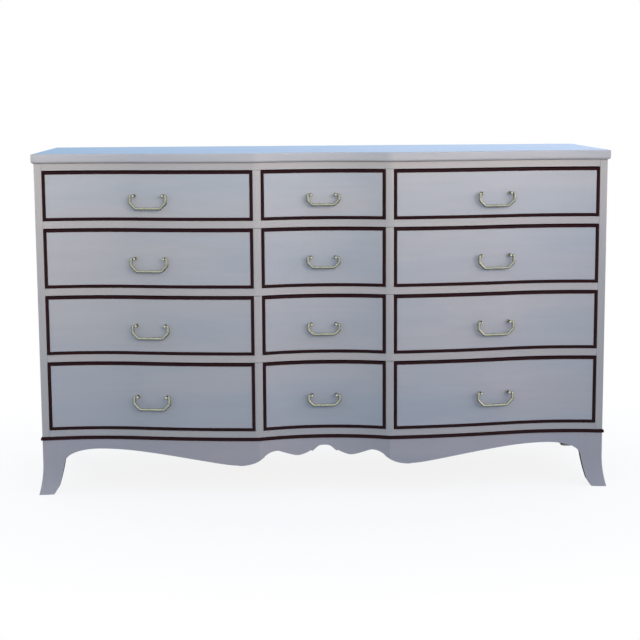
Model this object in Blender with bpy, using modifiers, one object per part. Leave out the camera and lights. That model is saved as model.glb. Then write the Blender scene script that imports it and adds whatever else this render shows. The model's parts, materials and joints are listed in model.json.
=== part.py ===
"""Serpentine-front triple dresser with twelve cock-beaded drawers on French splay feet.

Metres, +Z up. The front looks along -Y, the width runs along X, and the origin lies
on the floor below the middle of the whole piece.
"""
import math

import bmesh
import bpy
import numpy as np
from mathutils import Matrix, Vector
from mathutils.geometry import interpolate_bezier

# Case
CASE_WIDTH = 1.517
CASE_DEPTH = 0.507
END_THICKNESS = 0.019
PARTITION_THICKNESS = 0.0207
PARTITION_X = 0.1747
BACK_THICKNESS = 0.006
FIT_GAP = 0.0003

# Top board
TOP_THICKNESS = 0.0254
TOP_SIDE_OVERHANG = 0.006
TOP_FRONT_OVERHANG = 0.009
TOP_UPPER_ROUND = 0.003
TOP_LOWER_ROUND = 0.007
ROUND_STEPS = 2

# Front curve in plan: a hollow centre, a swell over each side column and a hollow at each end
CENTRE_SAGITTA = 0.0323
SWELL_RADIUS = 2.012
END_HOLLOW_RADIUS = 0.6845
TURN_X = 0.4936
TURN_SLOPE = 0.206
CENTRE_FACETS = 6
SIDE_FACETS = 8

# Levels, from the floor up; the rows share what the rails leave
OVERALL_HEIGHT = 0.9140
APRON_TOP = 0.1468
BASE_BEAD_HEIGHT = 0.0096
BASE_BEAD_STANDOUT = 0.0038
BASE_BEAD_INSET = 0.016
BASE_BEAD_ROUND = 0.0036
BOTTOM_RAIL = 0.01735
ROW_NAMES = ("bottom", "lower", "upper", "top")
ROW_SHARES = (7, 6, 6, 5)
RAIL_HEIGHT = 0.0199
TOP_RAIL = 0.01895

# Tiers: a dust frame the full width of the case, and the two uprights that stand on it
RAIL_DEPTH = 0.062
RUNNER_WIDTH = 0.050
REAR_RAIL_DEPTH = 0.045
DUST_PANEL_THICKNESS = 0.005
TONGUE = 0.004

# Drawers
FRONT_GAP = 0.0015
FRONT_THICKNESS = 0.022
BEAD_THICKNESS = 0.0068
BEAD_STANDOUT = 0.0030
BEAD_RABBET = 0.007
BEAD_ROUND = 0.0027
BEAD_SKIN = 0.0001
SIDE_THICKNESS = 0.0125
SIDE_DROP = 0.010
RUNNING_GAP = 0.0005
DRAWER_BACK_THICKNESS = 0.012
DRAWER_BACK_GAP = 0.012
BOTTOM_RAISE = 0.010
BOTTOM_THICKNESS = 0.006
BOTTOM_FRONT_GAP = 0.0012
TAIL_LENGTH = 0.010
TAIL_PITCH = 0.045
TAIL_SHARE = 0.30
TAIL_TAPER = 1 / 6

# Pulls: a bail hung between two ball-headed posts, its arms thicker than its bar
PULL_SHIFT = 0.0045
BAR_RADIUS = 0.0035
ARM_RADIUS = 0.0041
ELBOW_RADIUS = 0.0034
BAIL_STANDOFF = 0.017
BALL_RADIUS = 0.0042
BALL_RINGS = (0.70, 0.0, -0.95)
SEAT_SINK = 0.0005
NECK_RADIUS = 0.0023
SEAT_RADIUS = 0.0042
SEAT_HEIGHT = 0.0022
PIN_RADIUS = 0.0016
SOCKET_RADIUS = 0.0021
SOCKET_DEPTH = 0.0048
SIDE_PULL = {"posts": 0.0785, "drop": 0.0335, "chamfer": 0.0150}
CENTRE_PULL = {"posts": 0.0650, "drop": 0.0265, "chamfer": 0.0120}
POST_SIDES = 8

# Apron and feet
APRON_THICKNESS = 0.020
APRON_BLANK_LOW = 0.050
FOOT_THICKNESS = 0.022
FOOT_WIDTH = 0.0575
FOOT_ARCH_START = 0.0865
FOOT_BOTTOM_WIDTH = 0.0281
FOOT_HEEL = (0.0410, 0.0195)
FOOT_KNEE = (0.0499, 0.051)
REAR_TOE_WIDTH = 0.028
FLARE = 0.0119
FLARE_HEIGHT = 0.086
FOOT_MIDDLE_LEVELS = (0.034, 0.051, 0.068)
ARCH_CREST = 0.1206
ARCH_LENGTH = 0.0945
ARCH_SPRING = (0.007, 0.0285)
ARCH_CREST_REACH = 0.032
HUMP_TOP = 0.1273
HUMP_REACH = 0.016
HUMP_FOOT_HANDLE = (0.0167, 0.1246)
HUMP_FOOT = (0.032, 0.1108)
NICK_TOP = (0.037, 0.1128)
NICK_HANDLE = (0.0427, 0.1088)
FIRST_LOBE = (0.071, 0.1008)
FIRST_LOBE_REACHES = (0.0098, 0.0171)
SMALL_CREST = (0.127, 0.1163)
SMALL_CREST_REACHES = (0.0064, 0.0402)
SECOND_NICK = 0.162
NICK_STEP = 0.0015
GREAT_LOBE = (0.235, 0.0800)
GREAT_LOBE_REACHES = (0.0731, 0.050)
FRONT_ARCH_REACH = 0.152

# Finishes
PAINT = ((0.45, 0.45, 0.49), 0.0, 0.45)
MAHOGANY = ((0.070, 0.020, 0.018), 0.0, 0.45)
BARE_WOOD = ((0.42, 0.29, 0.17), 0.0, 0.65)
BRASS = ((0.55, 0.50, 0.32), 1.0, 0.35)
SHARP_ANGLE = math.radians(50)

HALF = CASE_WIDTH / 2
CASE_BOTTOM = APRON_TOP + BASE_BEAD_HEIGHT + FIT_GAP
CASE_TOP = OVERALL_HEIGHT - TOP_THICKNESS
RAIL_HEIGHTS = [BOTTOM_RAIL] + [RAIL_HEIGHT] * (len(ROW_NAMES) - 1)
OPENINGS_HEIGHT = CASE_TOP - APRON_TOP - BASE_BEAD_HEIGHT - sum(RAIL_HEIGHTS) - TOP_RAIL
ROW_HEIGHTS = [OPENINGS_HEIGHT * share / sum(ROW_SHARES) for share in ROW_SHARES]
END_INNER = HALF - END_THICKNESS
PARTITION_HALF = PARTITION_THICKNESS / 2


def raw_front(x):
    """Front curve before it is moved into place: zero where the two side arcs would level out."""
    a = abs(x)
    if a > TURN_X:
        centre = TURN_X + END_HOLLOW_RADIUS * math.sin(TURN_SLOPE)
        base = -END_HOLLOW_RADIUS * math.cos(TURN_SLOPE)
        return base + math.sqrt(max(END_HOLLOW_RADIUS ** 2 - (a - centre) ** 2, 0))
    centre = TURN_X - SWELL_RADIUS * math.sin(TURN_SLOPE)
    base = SWELL_RADIUS * math.cos(TURN_SLOPE)
    side = base - math.sqrt(max(SWELL_RADIUS ** 2 - (max(a, PARTITION_X) - centre) ** 2, 0))
    if a >= PARTITION_X:
        return side
    radius = (PARTITION_X ** 2 + CENTRE_SAGITTA ** 2) / (2 * CENTRE_SAGITTA)
    return side + CENTRE_SAGITTA - radius + math.sqrt(radius ** 2 - a ** 2)


NOSE = raw_front(HALF) - raw_front(PARTITION_X) + TOP_FRONT_OVERHANG
FRONT_Y = (NOSE - CASE_DEPTH) / 2
BACK_Y = FRONT_Y + CASE_DEPTH
BACK_PANEL_Y = BACK_Y - BACK_THICKNESS
RAIL_BACK_Y = FRONT_Y + RAIL_DEPTH
DRAWER_BACK_Y = BACK_PANEL_Y - DRAWER_BACK_GAP
OVERHANG_END = HALF + max(TOP_SIDE_OVERHANG, BASE_BEAD_STANDOUT) + FIT_GAP

SIDE_STATIONS = np.linspace(PARTITION_X, HALF, SIDE_FACETS + 1)
STATIONS = np.unique(np.round(np.concatenate((
    [-OVERHANG_END, OVERHANG_END], SIDE_STATIONS, -SIDE_STATIONS,
    np.linspace(-PARTITION_X, PARTITION_X, CENTRE_FACETS + 1))), 7))
STATION_Y = np.array([raw_front(x) - raw_front(HALF) + FRONT_Y for x in STATIONS])


def face_y(x):
    """Y of the case face at x, on the facets that every curved piece shares."""
    return float(np.interp(x, STATIONS, STATION_Y))


def face_line(x_start, x_end, shift=0.0):
    """Points of the face between two x, moved by shift along Y."""
    inner = [x for x in STATIONS if x_start + 1e-4 < x < x_end - 1e-4]
    return [(x, face_y(x) + shift) for x in [x_start, *inner, x_end]]


def strip_outline(x_start, x_end, front_shift, back_shift):
    """Plan outline of a board that follows the face on both sides."""
    return face_line(x_start, x_end, front_shift) + face_line(x_start, x_end, back_shift)[::-1]


def arc(start, middle, end, count):
    """Points on the circle through three points, from start to end."""
    ax, ay = start
    bx, by = middle
    cx, cy = end
    d = 2 * (ax * (by - cy) + bx * (cy - ay) + cx * (ay - by))
    a2, b2, c2 = ax * ax + ay * ay, bx * bx + by * by, cx * cx + cy * cy
    ux = (a2 * (by - cy) + b2 * (cy - ay) + c2 * (ay - by)) / d
    uy = (a2 * (cx - bx) + b2 * (ax - cx) + c2 * (bx - ax)) / d
    radius = math.hypot(ax - ux, ay - uy)
    first = math.atan2(ay - uy, ax - ux)
    last = math.atan2(cy - uy, cx - ux)
    sweep = (last - first + math.pi) % (2 * math.pi) - math.pi
    angles = [first + sweep * k / count for k in range(count + 1)]
    return [(ux + radius * math.cos(t), uy + radius * math.sin(t)) for t in angles]


def bezier(start, start_handle, end_handle, end, count):
    """Points of one cubic stretch, both ends included."""
    knots = [Vector((*p, 0)) for p in (start, start_handle, end_handle, end)]
    return [(p.x, p.y) for p in interpolate_bezier(*knots, count + 1)]


def level_curve(start, end, start_reach, end_reach, count):
    """A stretch that leaves start and reaches end along the horizontal."""
    return bezier(start, (start[0] + start_reach, start[1]), (end[0] - end_reach, end[1]), end, count)


# Mesh tools

def evaluated_mesh(data, modifiers=()):
    """The mesh of a curve or mesh once its modifiers have run."""
    temp = bpy.data.objects.new("temp", data)
    bpy.context.scene.collection.objects.link(temp)
    for kind, settings in modifiers:
        modifier = temp.modifiers.new(kind.title(), kind)
        for key, value in settings.items():
            setattr(modifier, key, value)
    graph = bpy.context.evaluated_depsgraph_get()
    mesh = bpy.data.meshes.new_from_object(temp.evaluated_get(graph))
    bpy.data.objects.remove(temp)
    return mesh


def tidy(mesh, matrix=None):
    """Welds loose caps, drops faces without area, points the rest out and moves the mesh."""
    bm = bmesh.new()
    bm.from_mesh(mesh)
    bmesh.ops.remove_doubles(bm, verts=bm.verts, dist=1e-6)
    bmesh.ops.dissolve_degenerate(bm, dist=1e-6, edges=bm.edges)
    if matrix is not None:
        bmesh.ops.transform(bm, matrix=matrix, verts=bm.verts)
    bmesh.ops.recalc_face_normals(bm, faces=bm.faces)
    bm.to_mesh(mesh)
    bm.free()
    return mesh


def flat_solid(outline, low, high, matrix=None, holes=()):
    """A closed outline in the XY plane, less its holes, thickened from low to high along Z."""
    curve = bpy.data.curves.new("outline", "CURVE")
    curve.dimensions = "2D"
    curve.fill_mode = "BOTH"
    curve.extrude = (high - low) / 2
    for ring in (outline, *holes):
        spline = curve.splines.new("POLY")
        spline.points.add(len(ring) - 1)
        for point, (x, y) in zip(spline.points, ring):
            point.co = (x, y, 0, 1)
        spline.use_cyclic_u = True
    place = Matrix.Translation((0, 0, (low + high) / 2))
    return tidy(evaluated_mesh(curve), place if matrix is None else matrix @ place)


# An outline drawn as (y, z) and thickened along X, and one drawn as (x, z) and thickened along -Y
ALONG_X = Matrix(((0, 0, 1, 0), (1, 0, 0, 0), (0, 1, 0, 0), (0, 0, 0, 1)))
ALONG_MINUS_Y = Matrix(((1, 0, 0, 0), (0, 0, -1, 0), (0, 1, 0, 0), (0, 0, 0, 1)))


def box(low, high):
    """A plain board between two corners."""
    bm = bmesh.new()
    size = Vector(high) - Vector(low)
    middle = (Vector(high) + Vector(low)) / 2
    bmesh.ops.create_cube(bm, size=1, matrix=Matrix.Translation(middle) @ Matrix.Diagonal((*size, 1)))
    mesh = bpy.data.meshes.new("board")
    bm.to_mesh(mesh)
    bm.free()
    return mesh


def on_face_line(point, shift):
    """Whether a point lies on the face line moved by shift along Y."""
    return abs(point.y - face_y(point.x) - shift) < 1e-5


def loft(rings):
    """A closed solid through rings of equally many points."""
    bm = bmesh.new()
    loops = [[bm.verts.new(p) for p in ring] for ring in rings]
    for lower, upper in zip(loops, loops[1:]):
        for k in range(len(lower)):
            n = (k + 1) % len(lower)
            bm.faces.new((lower[k], lower[n], upper[n], upper[k]))
    bm.faces.new(loops[0])
    bm.faces.new(loops[-1])
    bmesh.ops.recalc_face_normals(bm, faces=bm.faces)
    mesh = bpy.data.meshes.new("loft")
    bm.to_mesh(mesh)
    bm.free()
    return mesh


def round_edges(mesh, chosen, radius, segments):
    """Rounds the edges whose two ends satisfy the chosen test."""
    bm = bmesh.new()
    bm.from_mesh(mesh)
    bmesh.ops.dissolve_limit(bm, angle_limit=0.001, verts=bm.verts, edges=bm.edges)
    edges = [e for e in bm.edges if chosen(e.verts[0].co, e.verts[1].co)]
    bmesh.ops.bevel(bm, geom=edges, offset=radius, segments=segments, profile=0.5, affect="EDGES")
    bm.to_mesh(mesh)
    bm.free()
    return mesh


def turned(profile, sides):
    """A solid turned about Z from an (r, z) profile that runs from top to bottom."""
    mesh = bpy.data.meshes.new("profile")
    count = len(profile)
    mesh.from_pydata([(r, 0, z) for r, z in profile], [(k, k + 1) for k in range(count - 1)], [])
    screw = {"steps": sides, "render_steps": sides, "use_merge_vertices": True, "merge_threshold": 1e-5}
    return tidy(evaluated_mesh(mesh, [("SCREW", screw)]))


def joined(meshes):
    """One mesh that holds several solids which don't touch."""
    bm = bmesh.new()
    for mesh in meshes:
        bm.from_mesh(mesh)
    whole = bpy.data.meshes.new("solids")
    bm.to_mesh(whole)
    bm.free()
    return whole


def combined(operation, first, others):
    """The result of one Boolean operation after another on the first solid."""
    operands = [bpy.data.objects.new("operand", mesh) for mesh in others]
    for operand in operands:
        bpy.context.scene.collection.objects.link(operand)
    steps = [("BOOLEAN", {"operation": operation, "solver": "EXACT", "object": o}) for o in operands]
    mesh = evaluated_mesh(first, steps)
    for operand in operands:
        bpy.data.objects.remove(operand)
    return mesh


def united(first, *others):
    """The Boolean union of overlapping solids, as one closed mesh."""
    return combined("UNION", first, others)


def carved(first, *others):
    """The first solid less the others."""
    return combined("DIFFERENCE", first, others)


def material(name, finish):
    """A Principled material from a colour, a metallic value and a roughness."""
    colour, metallic, roughness = finish
    made = bpy.data.materials.new(name)
    made.use_nodes = True
    shader = made.node_tree.nodes["Principled BSDF"]
    shader.inputs["Base Color"].default_value = (*colour, 1)
    shader.inputs["Metallic"].default_value = metallic
    shader.inputs["Roughness"].default_value = roughness
    made.diffuse_color = (*colour, 1)
    return made


class Model:
    """The collections and materials that the pieces go into."""

    def __init__(self):
        for old in list(bpy.data.objects):
            bpy.data.objects.remove(old)
        self.parts = bpy.data.collections.new("dresser")
        self.cutters = bpy.data.collections.new("cutters")
        for collection in (self.parts, self.cutters):
            bpy.context.scene.collection.children.link(collection)
        self.paint = material("grey_paint", PAINT)
        self.mahogany = material("mahogany", MAHOGANY)
        self.wood = material("bare_wood", BARE_WOOD)
        self.brass = material("brass", BRASS)

    def place(self, name, data, collection, parent):
        """One object, kept where it is when a parent carries it."""
        made = bpy.data.objects.new(name, data)
        collection.objects.link(made)
        if parent is not None:
            made.parent = parent
            made.matrix_parent_inverse = Matrix.Translation(-parent.location)
        return made

    def node(self, name, data, finishes, parent=None):
        """One named piece in the dresser's collection."""
        piece = self.place(name, data, self.parts, parent)
        if not data.materials:
            for finish in finishes:
                data.materials.append(finish)
        return piece

    def cutter(self, name, data, parent=None):
        """A guide solid that is cut out of another piece."""
        guide = self.place(name, data, self.cutters, parent)
        guide.hide_render = True
        guide.display_type = "WIRE"
        return guide

    def axis(self, name, location):
        """An empty on a joint's axis."""
        empty = self.place(name, None, self.parts, None)
        empty.location = location
        return empty


def cut(piece, guide):
    """Takes the guide solid out of the piece."""
    modifier = piece.modifiers.new("Cut", "BOOLEAN")
    modifier.operation = "DIFFERENCE"
    modifier.solver = "EXACT"
    modifier.object = guide


# Case

def top_board():
    """The shaped top, with its lower edge rounded more than its upper edge."""
    reach = HALF + TOP_SIDE_OVERHANG
    low, high = CASE_TOP + FIT_GAP, OVERALL_HEIGHT
    outline = face_line(-reach, reach, -TOP_FRONT_OVERHANG) + [(reach, BACK_Y), (-reach, BACK_Y)]
    mesh = flat_solid(outline, low, high)

    def outer_edge(a, b, level):
        at_level = abs(a.z - level) < 1e-5 and abs(b.z - level) < 1e-5
        at_front = all(on_face_line(v, -TOP_FRONT_OVERHANG) for v in (a, b))
        at_side = abs(a.x - b.x) < 1e-6 and abs(abs(a.x) - reach) < 1e-5
        return at_level and (at_front or at_side)

    round_edges(mesh, lambda a, b: outer_edge(a, b, high), TOP_UPPER_ROUND, ROUND_STEPS)
    return round_edges(mesh, lambda a, b: outer_edge(a, b, low), TOP_LOWER_ROUND, ROUND_STEPS)


def end_panel(side):
    """One end of the case; its front edge follows the curve."""
    inner, outer = sorted((side * END_INNER, side * HALF))
    outline = face_line(inner, outer) + [(outer, BACK_Y), (inner, BACK_Y)]
    return flat_solid(outline, CASE_BOTTOM, CASE_TOP)


def back_panel():
    """The thin back, let in between the ends."""
    reach = END_INNER - FIT_GAP
    return box((-reach, BACK_PANEL_Y, CASE_BOTTOM), (reach, BACK_Y, CASE_TOP))


def rail_levels():
    """Bottom and top of each rail, from the lowest up."""
    levels = []
    z = APRON_TOP + BASE_BEAD_HEIGHT
    for rail, row in zip(RAIL_HEIGHTS, ROW_HEIGHTS):
        levels.append((z, z + rail))
        z += rail + row
    levels.append((z, z + TOP_RAIL))
    return levels


RAIL_LEVELS = rail_levels()
LEFT, CENTRE, RIGHT = "left", "centre", "right"
SIDE_OF = {LEFT: -1, CENTRE: 0, RIGHT: 1}
INNER_EDGE = PARTITION_X + PARTITION_HALF
COLUMNS = {
    LEFT: (-END_INNER, -INNER_EDGE),
    CENTRE: (PARTITION_HALF - PARTITION_X, PARTITION_X - PARTITION_HALF),
    RIGHT: (INNER_EDGE, END_INNER),
}


def bay_holes(front, rear):
    """Plan outlines of the three spaces inside a dust frame."""
    holes = []
    for x_low, x_high in COLUMNS.values():
        left, right = x_low + RUNNER_WIDTH, x_high - RUNNER_WIDTH
        holes.append([(left, front), (right, front), (right, rear), (left, rear)])
    return holes


def dust_frame(low, high):
    """A frame of rails and runners with a thin panel tongued into each of its bays."""
    reach = END_INNER - FIT_GAP
    rear = BACK_PANEL_Y - FIT_GAP
    outline = face_line(-reach, reach) + [(reach, rear), (-reach, rear)]
    holes = bay_holes(RAIL_BACK_Y, rear - REAR_RAIL_DEPTH)
    frame = flat_solid(outline, low, high, holes=holes)
    middle, half = (low + high) / 2, DUST_PANEL_THICKNESS / 2
    panels = [box((hole[0][0] - TONGUE, hole[0][1] - TONGUE, middle - half),
                  (hole[2][0] + TONGUE, hole[2][1] + TONGUE, middle + half)) for hole in holes]
    return frame, joined(panels)


def uprights(low, high):
    """The two dividers of one row, each with its front edge just behind a ridge of the curve."""
    rear = BACK_PANEL_Y - 2 * FIT_GAP
    solids = []
    for side in (-1, 1):
        left, right = side * PARTITION_X - PARTITION_HALF, side * PARTITION_X + PARTITION_HALF
        outline = face_line(left, right, FIT_GAP) + [(right, rear), (left, rear)]
        solids.append(flat_solid(outline, low, high))
    return joined(solids)


def tier(number):
    """The frame below one row with its dividers; the highest tier carries the top frame too."""
    low, high = RAIL_LEVELS[number]
    low = max(low, CASE_BOTTOM)
    above_low, above_high = RAIL_LEVELS[number + 1]
    last = number + 2 == len(RAIL_LEVELS)
    if last:
        return united(*dust_frame(low, high), uprights(high - TONGUE, above_low + TONGUE),
                      *dust_frame(above_low, above_high))
    return united(*dust_frame(low, high), uprights(high - TONGUE, above_low - FIT_GAP))


def base_bead():
    """The half-round bead between the case and its base, along the front and up both ends."""
    low, high = APRON_TOP + FIT_GAP, APRON_TOP + BASE_BEAD_HEIGHT
    reach = HALF + BASE_BEAD_STANDOUT
    inner = HALF - BASE_BEAD_INSET
    inside = face_line(-inner, inner, BASE_BEAD_INSET)[::-1]
    outline = [(-reach, BACK_Y), *face_line(-reach, reach, -BASE_BEAD_STANDOUT), (reach, BACK_Y),
               (inner, BACK_Y), *inside, (-inner, BACK_Y)]

    def outer_edge(a, b):
        level = abs(a.z - b.z) < 1e-6
        at_front = all(on_face_line(v, -BASE_BEAD_STANDOUT) for v in (a, b))
        at_side = abs(a.x - b.x) < 1e-6 and abs(abs(a.x) - reach) < 1e-5
        return level and (at_front or at_side)

    return round_edges(flat_solid(outline, low, high), outer_edge, BASE_BEAD_ROUND, ROUND_STEPS)


# Base

def arch_end(count=6):
    """Lower edge of an apron where it springs from a foot, measured from the corner of the case."""
    start = (FOOT_WIDTH, FOOT_ARCH_START)
    end = (FOOT_WIDTH + ARCH_LENGTH, ARCH_CREST)
    start_handle = (start[0] + ARCH_SPRING[0], start[1] + ARCH_SPRING[1])
    return bezier(start, start_handle, (end[0] - ARCH_CREST_REACH, end[1]), end, count)


def scallop():
    """Lower edge of the right half of the front apron, from the middle to the foot."""
    hump = bezier((0, HUMP_TOP), (HUMP_REACH, HUMP_TOP), HUMP_FOOT_HANDLE, HUMP_FOOT, 6)
    lobe_handle = (FIRST_LOBE[0] - FIRST_LOBE_REACHES[0], FIRST_LOBE[1])
    lobe = bezier(NICK_TOP, NICK_HANDLE, lobe_handle, FIRST_LOBE, 4)
    rise = level_curve(FIRST_LOBE, SMALL_CREST, FIRST_LOBE_REACHES[1], SMALL_CREST_REACHES[0], 5)
    fall = level_curve(SMALL_CREST, GREAT_LOBE, SMALL_CREST_REACHES[1], GREAT_LOBE_REACHES[0], 10)
    nicked = [(x, z - NICK_STEP if x > SECOND_NICK else z) for x, z in fall[:-1]] + [fall[-1]]
    arch = [(HALF - d, z) for d, z in arch_end()[::-1]]
    ogee = level_curve(GREAT_LOBE, arch[0], GREAT_LOBE_REACHES[1], FRONT_ARCH_REACH, 10)
    return hump + lobe + rise[1:] + nicked[1:] + ogee[1:] + arch[1:]


def front_apron_guide():
    """What the saw takes away below the scalloped edge."""
    right = scallop()
    left = [(-x, z) for x, z in right[:0:-1]]
    reach = HALF - FOOT_WIDTH + FIT_GAP
    floor = FOOT_HEEL[1]
    edge = [(-reach, right[-1][1]), *left, *right, (reach, right[-1][1])]
    outline = [(-reach, floor), *edge, (reach, floor)]
    return flat_solid(outline, -RAIL_BACK_Y, CASE_DEPTH, ALONG_MINUS_Y)


def side_apron(side):
    """The skirt below one end, arched between its two feet."""
    front = FRONT_Y + FOOT_WIDTH + FIT_GAP
    rear = BACK_Y - FOOT_WIDTH + TONGUE
    first = [(FRONT_Y + d, z) for d, z in arch_end()]
    last = [(BACK_Y - d, z) for d, z in arch_end()[::-1]]
    first[0] = (front, first[0][1])
    outline = [(front, APRON_TOP), *first, *last, (rear, last[-1][1]), (rear, APRON_TOP)]
    inner, outer = sorted((side * (HALF - END_THICKNESS), side * HALF))
    return flat_solid(outline, inner, outer, ALONG_X)


def side_base(side):
    """The skirt below one end with the rear foot that it is glued to."""
    return united(foot(side, rear_foot_ring), side_apron(side))


def front_base():
    """The apron, bent to the curve and sawn to its scallops, between the two front feet."""
    reach = HALF - FOOT_WIDTH + TONGUE
    board = flat_solid(strip_outline(-reach, reach, 0, APRON_THICKNESS), APRON_BLANK_LOW, APRON_TOP)
    sawn = carved(board, front_apron_guide())
    return united(sawn, joined([foot(side, front_foot_ring) for side in (-1, 1)]))


def foot_inset(z):
    """How far the inner edge of a foot lies from the corner of the case at height z."""
    edge = [(FOOT_BOTTOM_WIDTH, 0), *arc(FOOT_HEEL, FOOT_KNEE, (FOOT_WIDTH, FOOT_ARCH_START), 24)]
    return float(np.interp(z, [p[1] for p in edge], [p[0] for p in edge]))


def rear_bracket_inset(z):
    """How far the back board of a rear foot reaches in from the corner of the case: a straight slant."""
    return float(np.interp(z, (0, FOOT_ARCH_START), (REAR_TOE_WIDTH - FLARE, FOOT_WIDTH)))


def flare(z):
    """How far a foot swings out beyond the case at height z: an arc that starts upright."""
    radius = (FLARE_HEIGHT ** 2 + FLARE ** 2) / (2 * FLARE)
    drop = max(FLARE_HEIGHT - z, 0)
    return radius - math.sqrt(radius ** 2 - drop ** 2)


def front_foot_ring(z):
    """Plan of the right front foot at height z: two boards mitred at the corner, the front one on the curve."""
    inset, swing = foot_inset(z), flare(z)
    inner, outer = HALF - inset, HALF + swing
    front = [(x, face_y(x) - swing) for x in (inner, (inner + HALF) / 2)]
    inside = front[0][1] + FOOT_THICKNESS
    back = FRONT_Y + inset
    return [*front, (outer, FRONT_Y - swing), (outer, back), (outer - FOOT_THICKNESS, back),
            (outer - FOOT_THICKNESS, inside), (inner, inside)]


def rear_foot_ring(z):
    """Plan of the right rear foot at height z: an end board that swings out and a slanted back board."""
    front = BACK_Y - foot_inset(z)
    inner, outer = HALF - rear_bracket_inset(z), HALF + flare(z)
    inside = BACK_Y - FOOT_THICKNESS
    return [(inner, BACK_Y), (outer, BACK_Y), (outer, front), (outer - FOOT_THICKNESS, front),
            (outer - FOOT_THICKNESS, inside), (inner, inside)]


def foot(side, ring):
    """A splay foot on one side, lofted through its plans."""
    levels = (0, FOOT_HEEL[1], *FOOT_MIDDLE_LEVELS, FOOT_ARCH_START, APRON_TOP)
    return loft([[(side * x, y, z) for x, y in ring(z)] for z in levels])


# Drawers

def drawer_heights(row):
    """Opening of a row: its lowest and highest z."""
    number = ROW_NAMES.index(row)
    return RAIL_LEVELS[number][1], RAIL_LEVELS[number + 1][0]


class DrawerSpace:
    """The limits of one drawer, worked out from its opening."""

    def __init__(self, row, column):
        self.x_low, self.x_high = (COLUMNS[column][0] + FRONT_GAP, COLUMNS[column][1] - FRONT_GAP)
        self.opening_low, self.opening_high = drawer_heights(row)
        self.z_low = self.opening_low + FRONT_GAP
        self.z_high = self.opening_high - FRONT_GAP
        self.board_low = self.z_low + BEAD_THICKNESS + FIT_GAP
        self.board_high = self.z_high - BEAD_THICKNESS - FIT_GAP
        self.side_low = self.opening_low + RUNNING_GAP
        self.side_high = self.board_high - SIDE_DROP
        self.panel_low = self.opening_low + BOTTOM_RAISE
        self.panel_high = self.panel_low + BOTTOM_THICKNESS


def tail_spans(space):
    """Middle height and half width at the tip of each dovetail."""
    height = space.side_high - space.board_low
    count = max(2, round(height / TAIL_PITCH))
    pitch = height / count
    return [(space.board_low + (k + 0.5) * pitch, pitch * TAIL_SHARE) for k in range(count)]


def shoulder_y(x_inner, x_outer):
    """Where a drawer side stops behind the curved front."""
    return max(face_y(x_inner), face_y(x_outer)) + FRONT_THICKNESS + FIT_GAP


def tail(space, shoulder, number, spare):
    """One dovetail as (y, z) points from its top to its bottom; spare widens it into a socket."""
    middle, half = tail_spans(space)[number]
    root = half - TAIL_LENGTH * TAIL_TAPER + spare
    tip = half + spare
    end = shoulder - TAIL_LENGTH - spare
    return [(shoulder, middle + root), (end, middle + tip), (end, middle - tip), (shoulder, middle - root)]


def side_limits(space, side):
    """Outer and inner x of the drawer side at the low or the high end."""
    outer = space.x_high if side > 0 else space.x_low
    return outer, outer - side * SIDE_THICKNESS


def drawer_side(space, side):
    """A side board with its dovetails cut on the front end."""
    outer, inner = side_limits(space, side)
    shoulder = shoulder_y(inner, outer)
    outline = [(DRAWER_BACK_Y, space.side_low), (DRAWER_BACK_Y, space.side_high), (shoulder, space.side_high)]
    for number in reversed(range(len(tail_spans(space)))):
        outline += tail(space, shoulder, number, 0)
    outline.append((shoulder, space.side_low))
    return flat_solid(outline, min(inner, outer), max(inner, outer), ALONG_X)


def sockets(space):
    """Guides for the sockets in both ends of the front board."""
    solids = []
    for side in (-1, 1):
        outer, inner = side_limits(space, side)
        low, high = sorted((inner - side * FIT_GAP, outer + side * FRONT_GAP / 2))
        shoulder = shoulder_y(inner, outer)
        for number in range(len(tail_spans(space))):
            outline = tail(space, shoulder, number, FIT_GAP)
            top, bottom = outline[0], outline[-1]
            outline = [(top[0] + FIT_GAP, top[1]), *outline, (bottom[0] + FIT_GAP, bottom[1])]
            solids.append(flat_solid(outline, low, high, ALONG_X))
    return joined(solids)


def front_board(space):
    """The serpentine board, rabbeted at both ends for the upright beads."""
    inset = BEAD_THICKNESS + FIT_GAP
    step = BEAD_RABBET + FIT_GAP
    left, right = space.x_low + inset, space.x_high - inset
    front = face_line(left, right)
    back = face_line(space.x_low, space.x_high, FRONT_THICKNESS)[::-1]
    right_step = [(right, face_y(right) + step), (space.x_high, face_y(right) + step)]
    left_step = [(space.x_low, face_y(left) + step), (left, face_y(left) + step)]
    return flat_solid(front + right_step + back + left_step, space.board_low, space.board_high)


def bead_strip(x_low, x_high, rear, z_low, z_high, upright):
    """A length of bead with its nose standing out of the face; upright rounds its upright edges."""
    strip = flat_solid(strip_outline(x_low, x_high, -BEAD_STANDOUT, rear), z_low, z_high)

    def nose(a, b):
        along = abs(a.x - b.x) < 1e-6 if upright else abs(a.z - b.z) < 1e-6
        return along and all(on_face_line(v, -BEAD_STANDOUT) for v in (a, b))

    return round_edges(strip, nose, BEAD_ROUND, 1)


def cock_bead(space):
    """The bead round one front: as deep as the board above and below, let in at the two ends."""
    level = [bead_strip(space.x_low, space.x_high, FRONT_THICKNESS, low, low + BEAD_THICKNESS, False)
             for low in (space.z_low, space.z_high - BEAD_THICKNESS)]
    ends = ((space.x_low + BEAD_SKIN, space.x_low + BEAD_THICKNESS),
            (space.x_high - BEAD_THICKNESS, space.x_high - BEAD_SKIN))
    half = BEAD_THICKNESS / 2
    upright = [bead_strip(*end, BEAD_RABBET, space.z_low + half, space.z_high - half, True) for end in ends]
    return united(joined(level), joined(upright))


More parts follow.
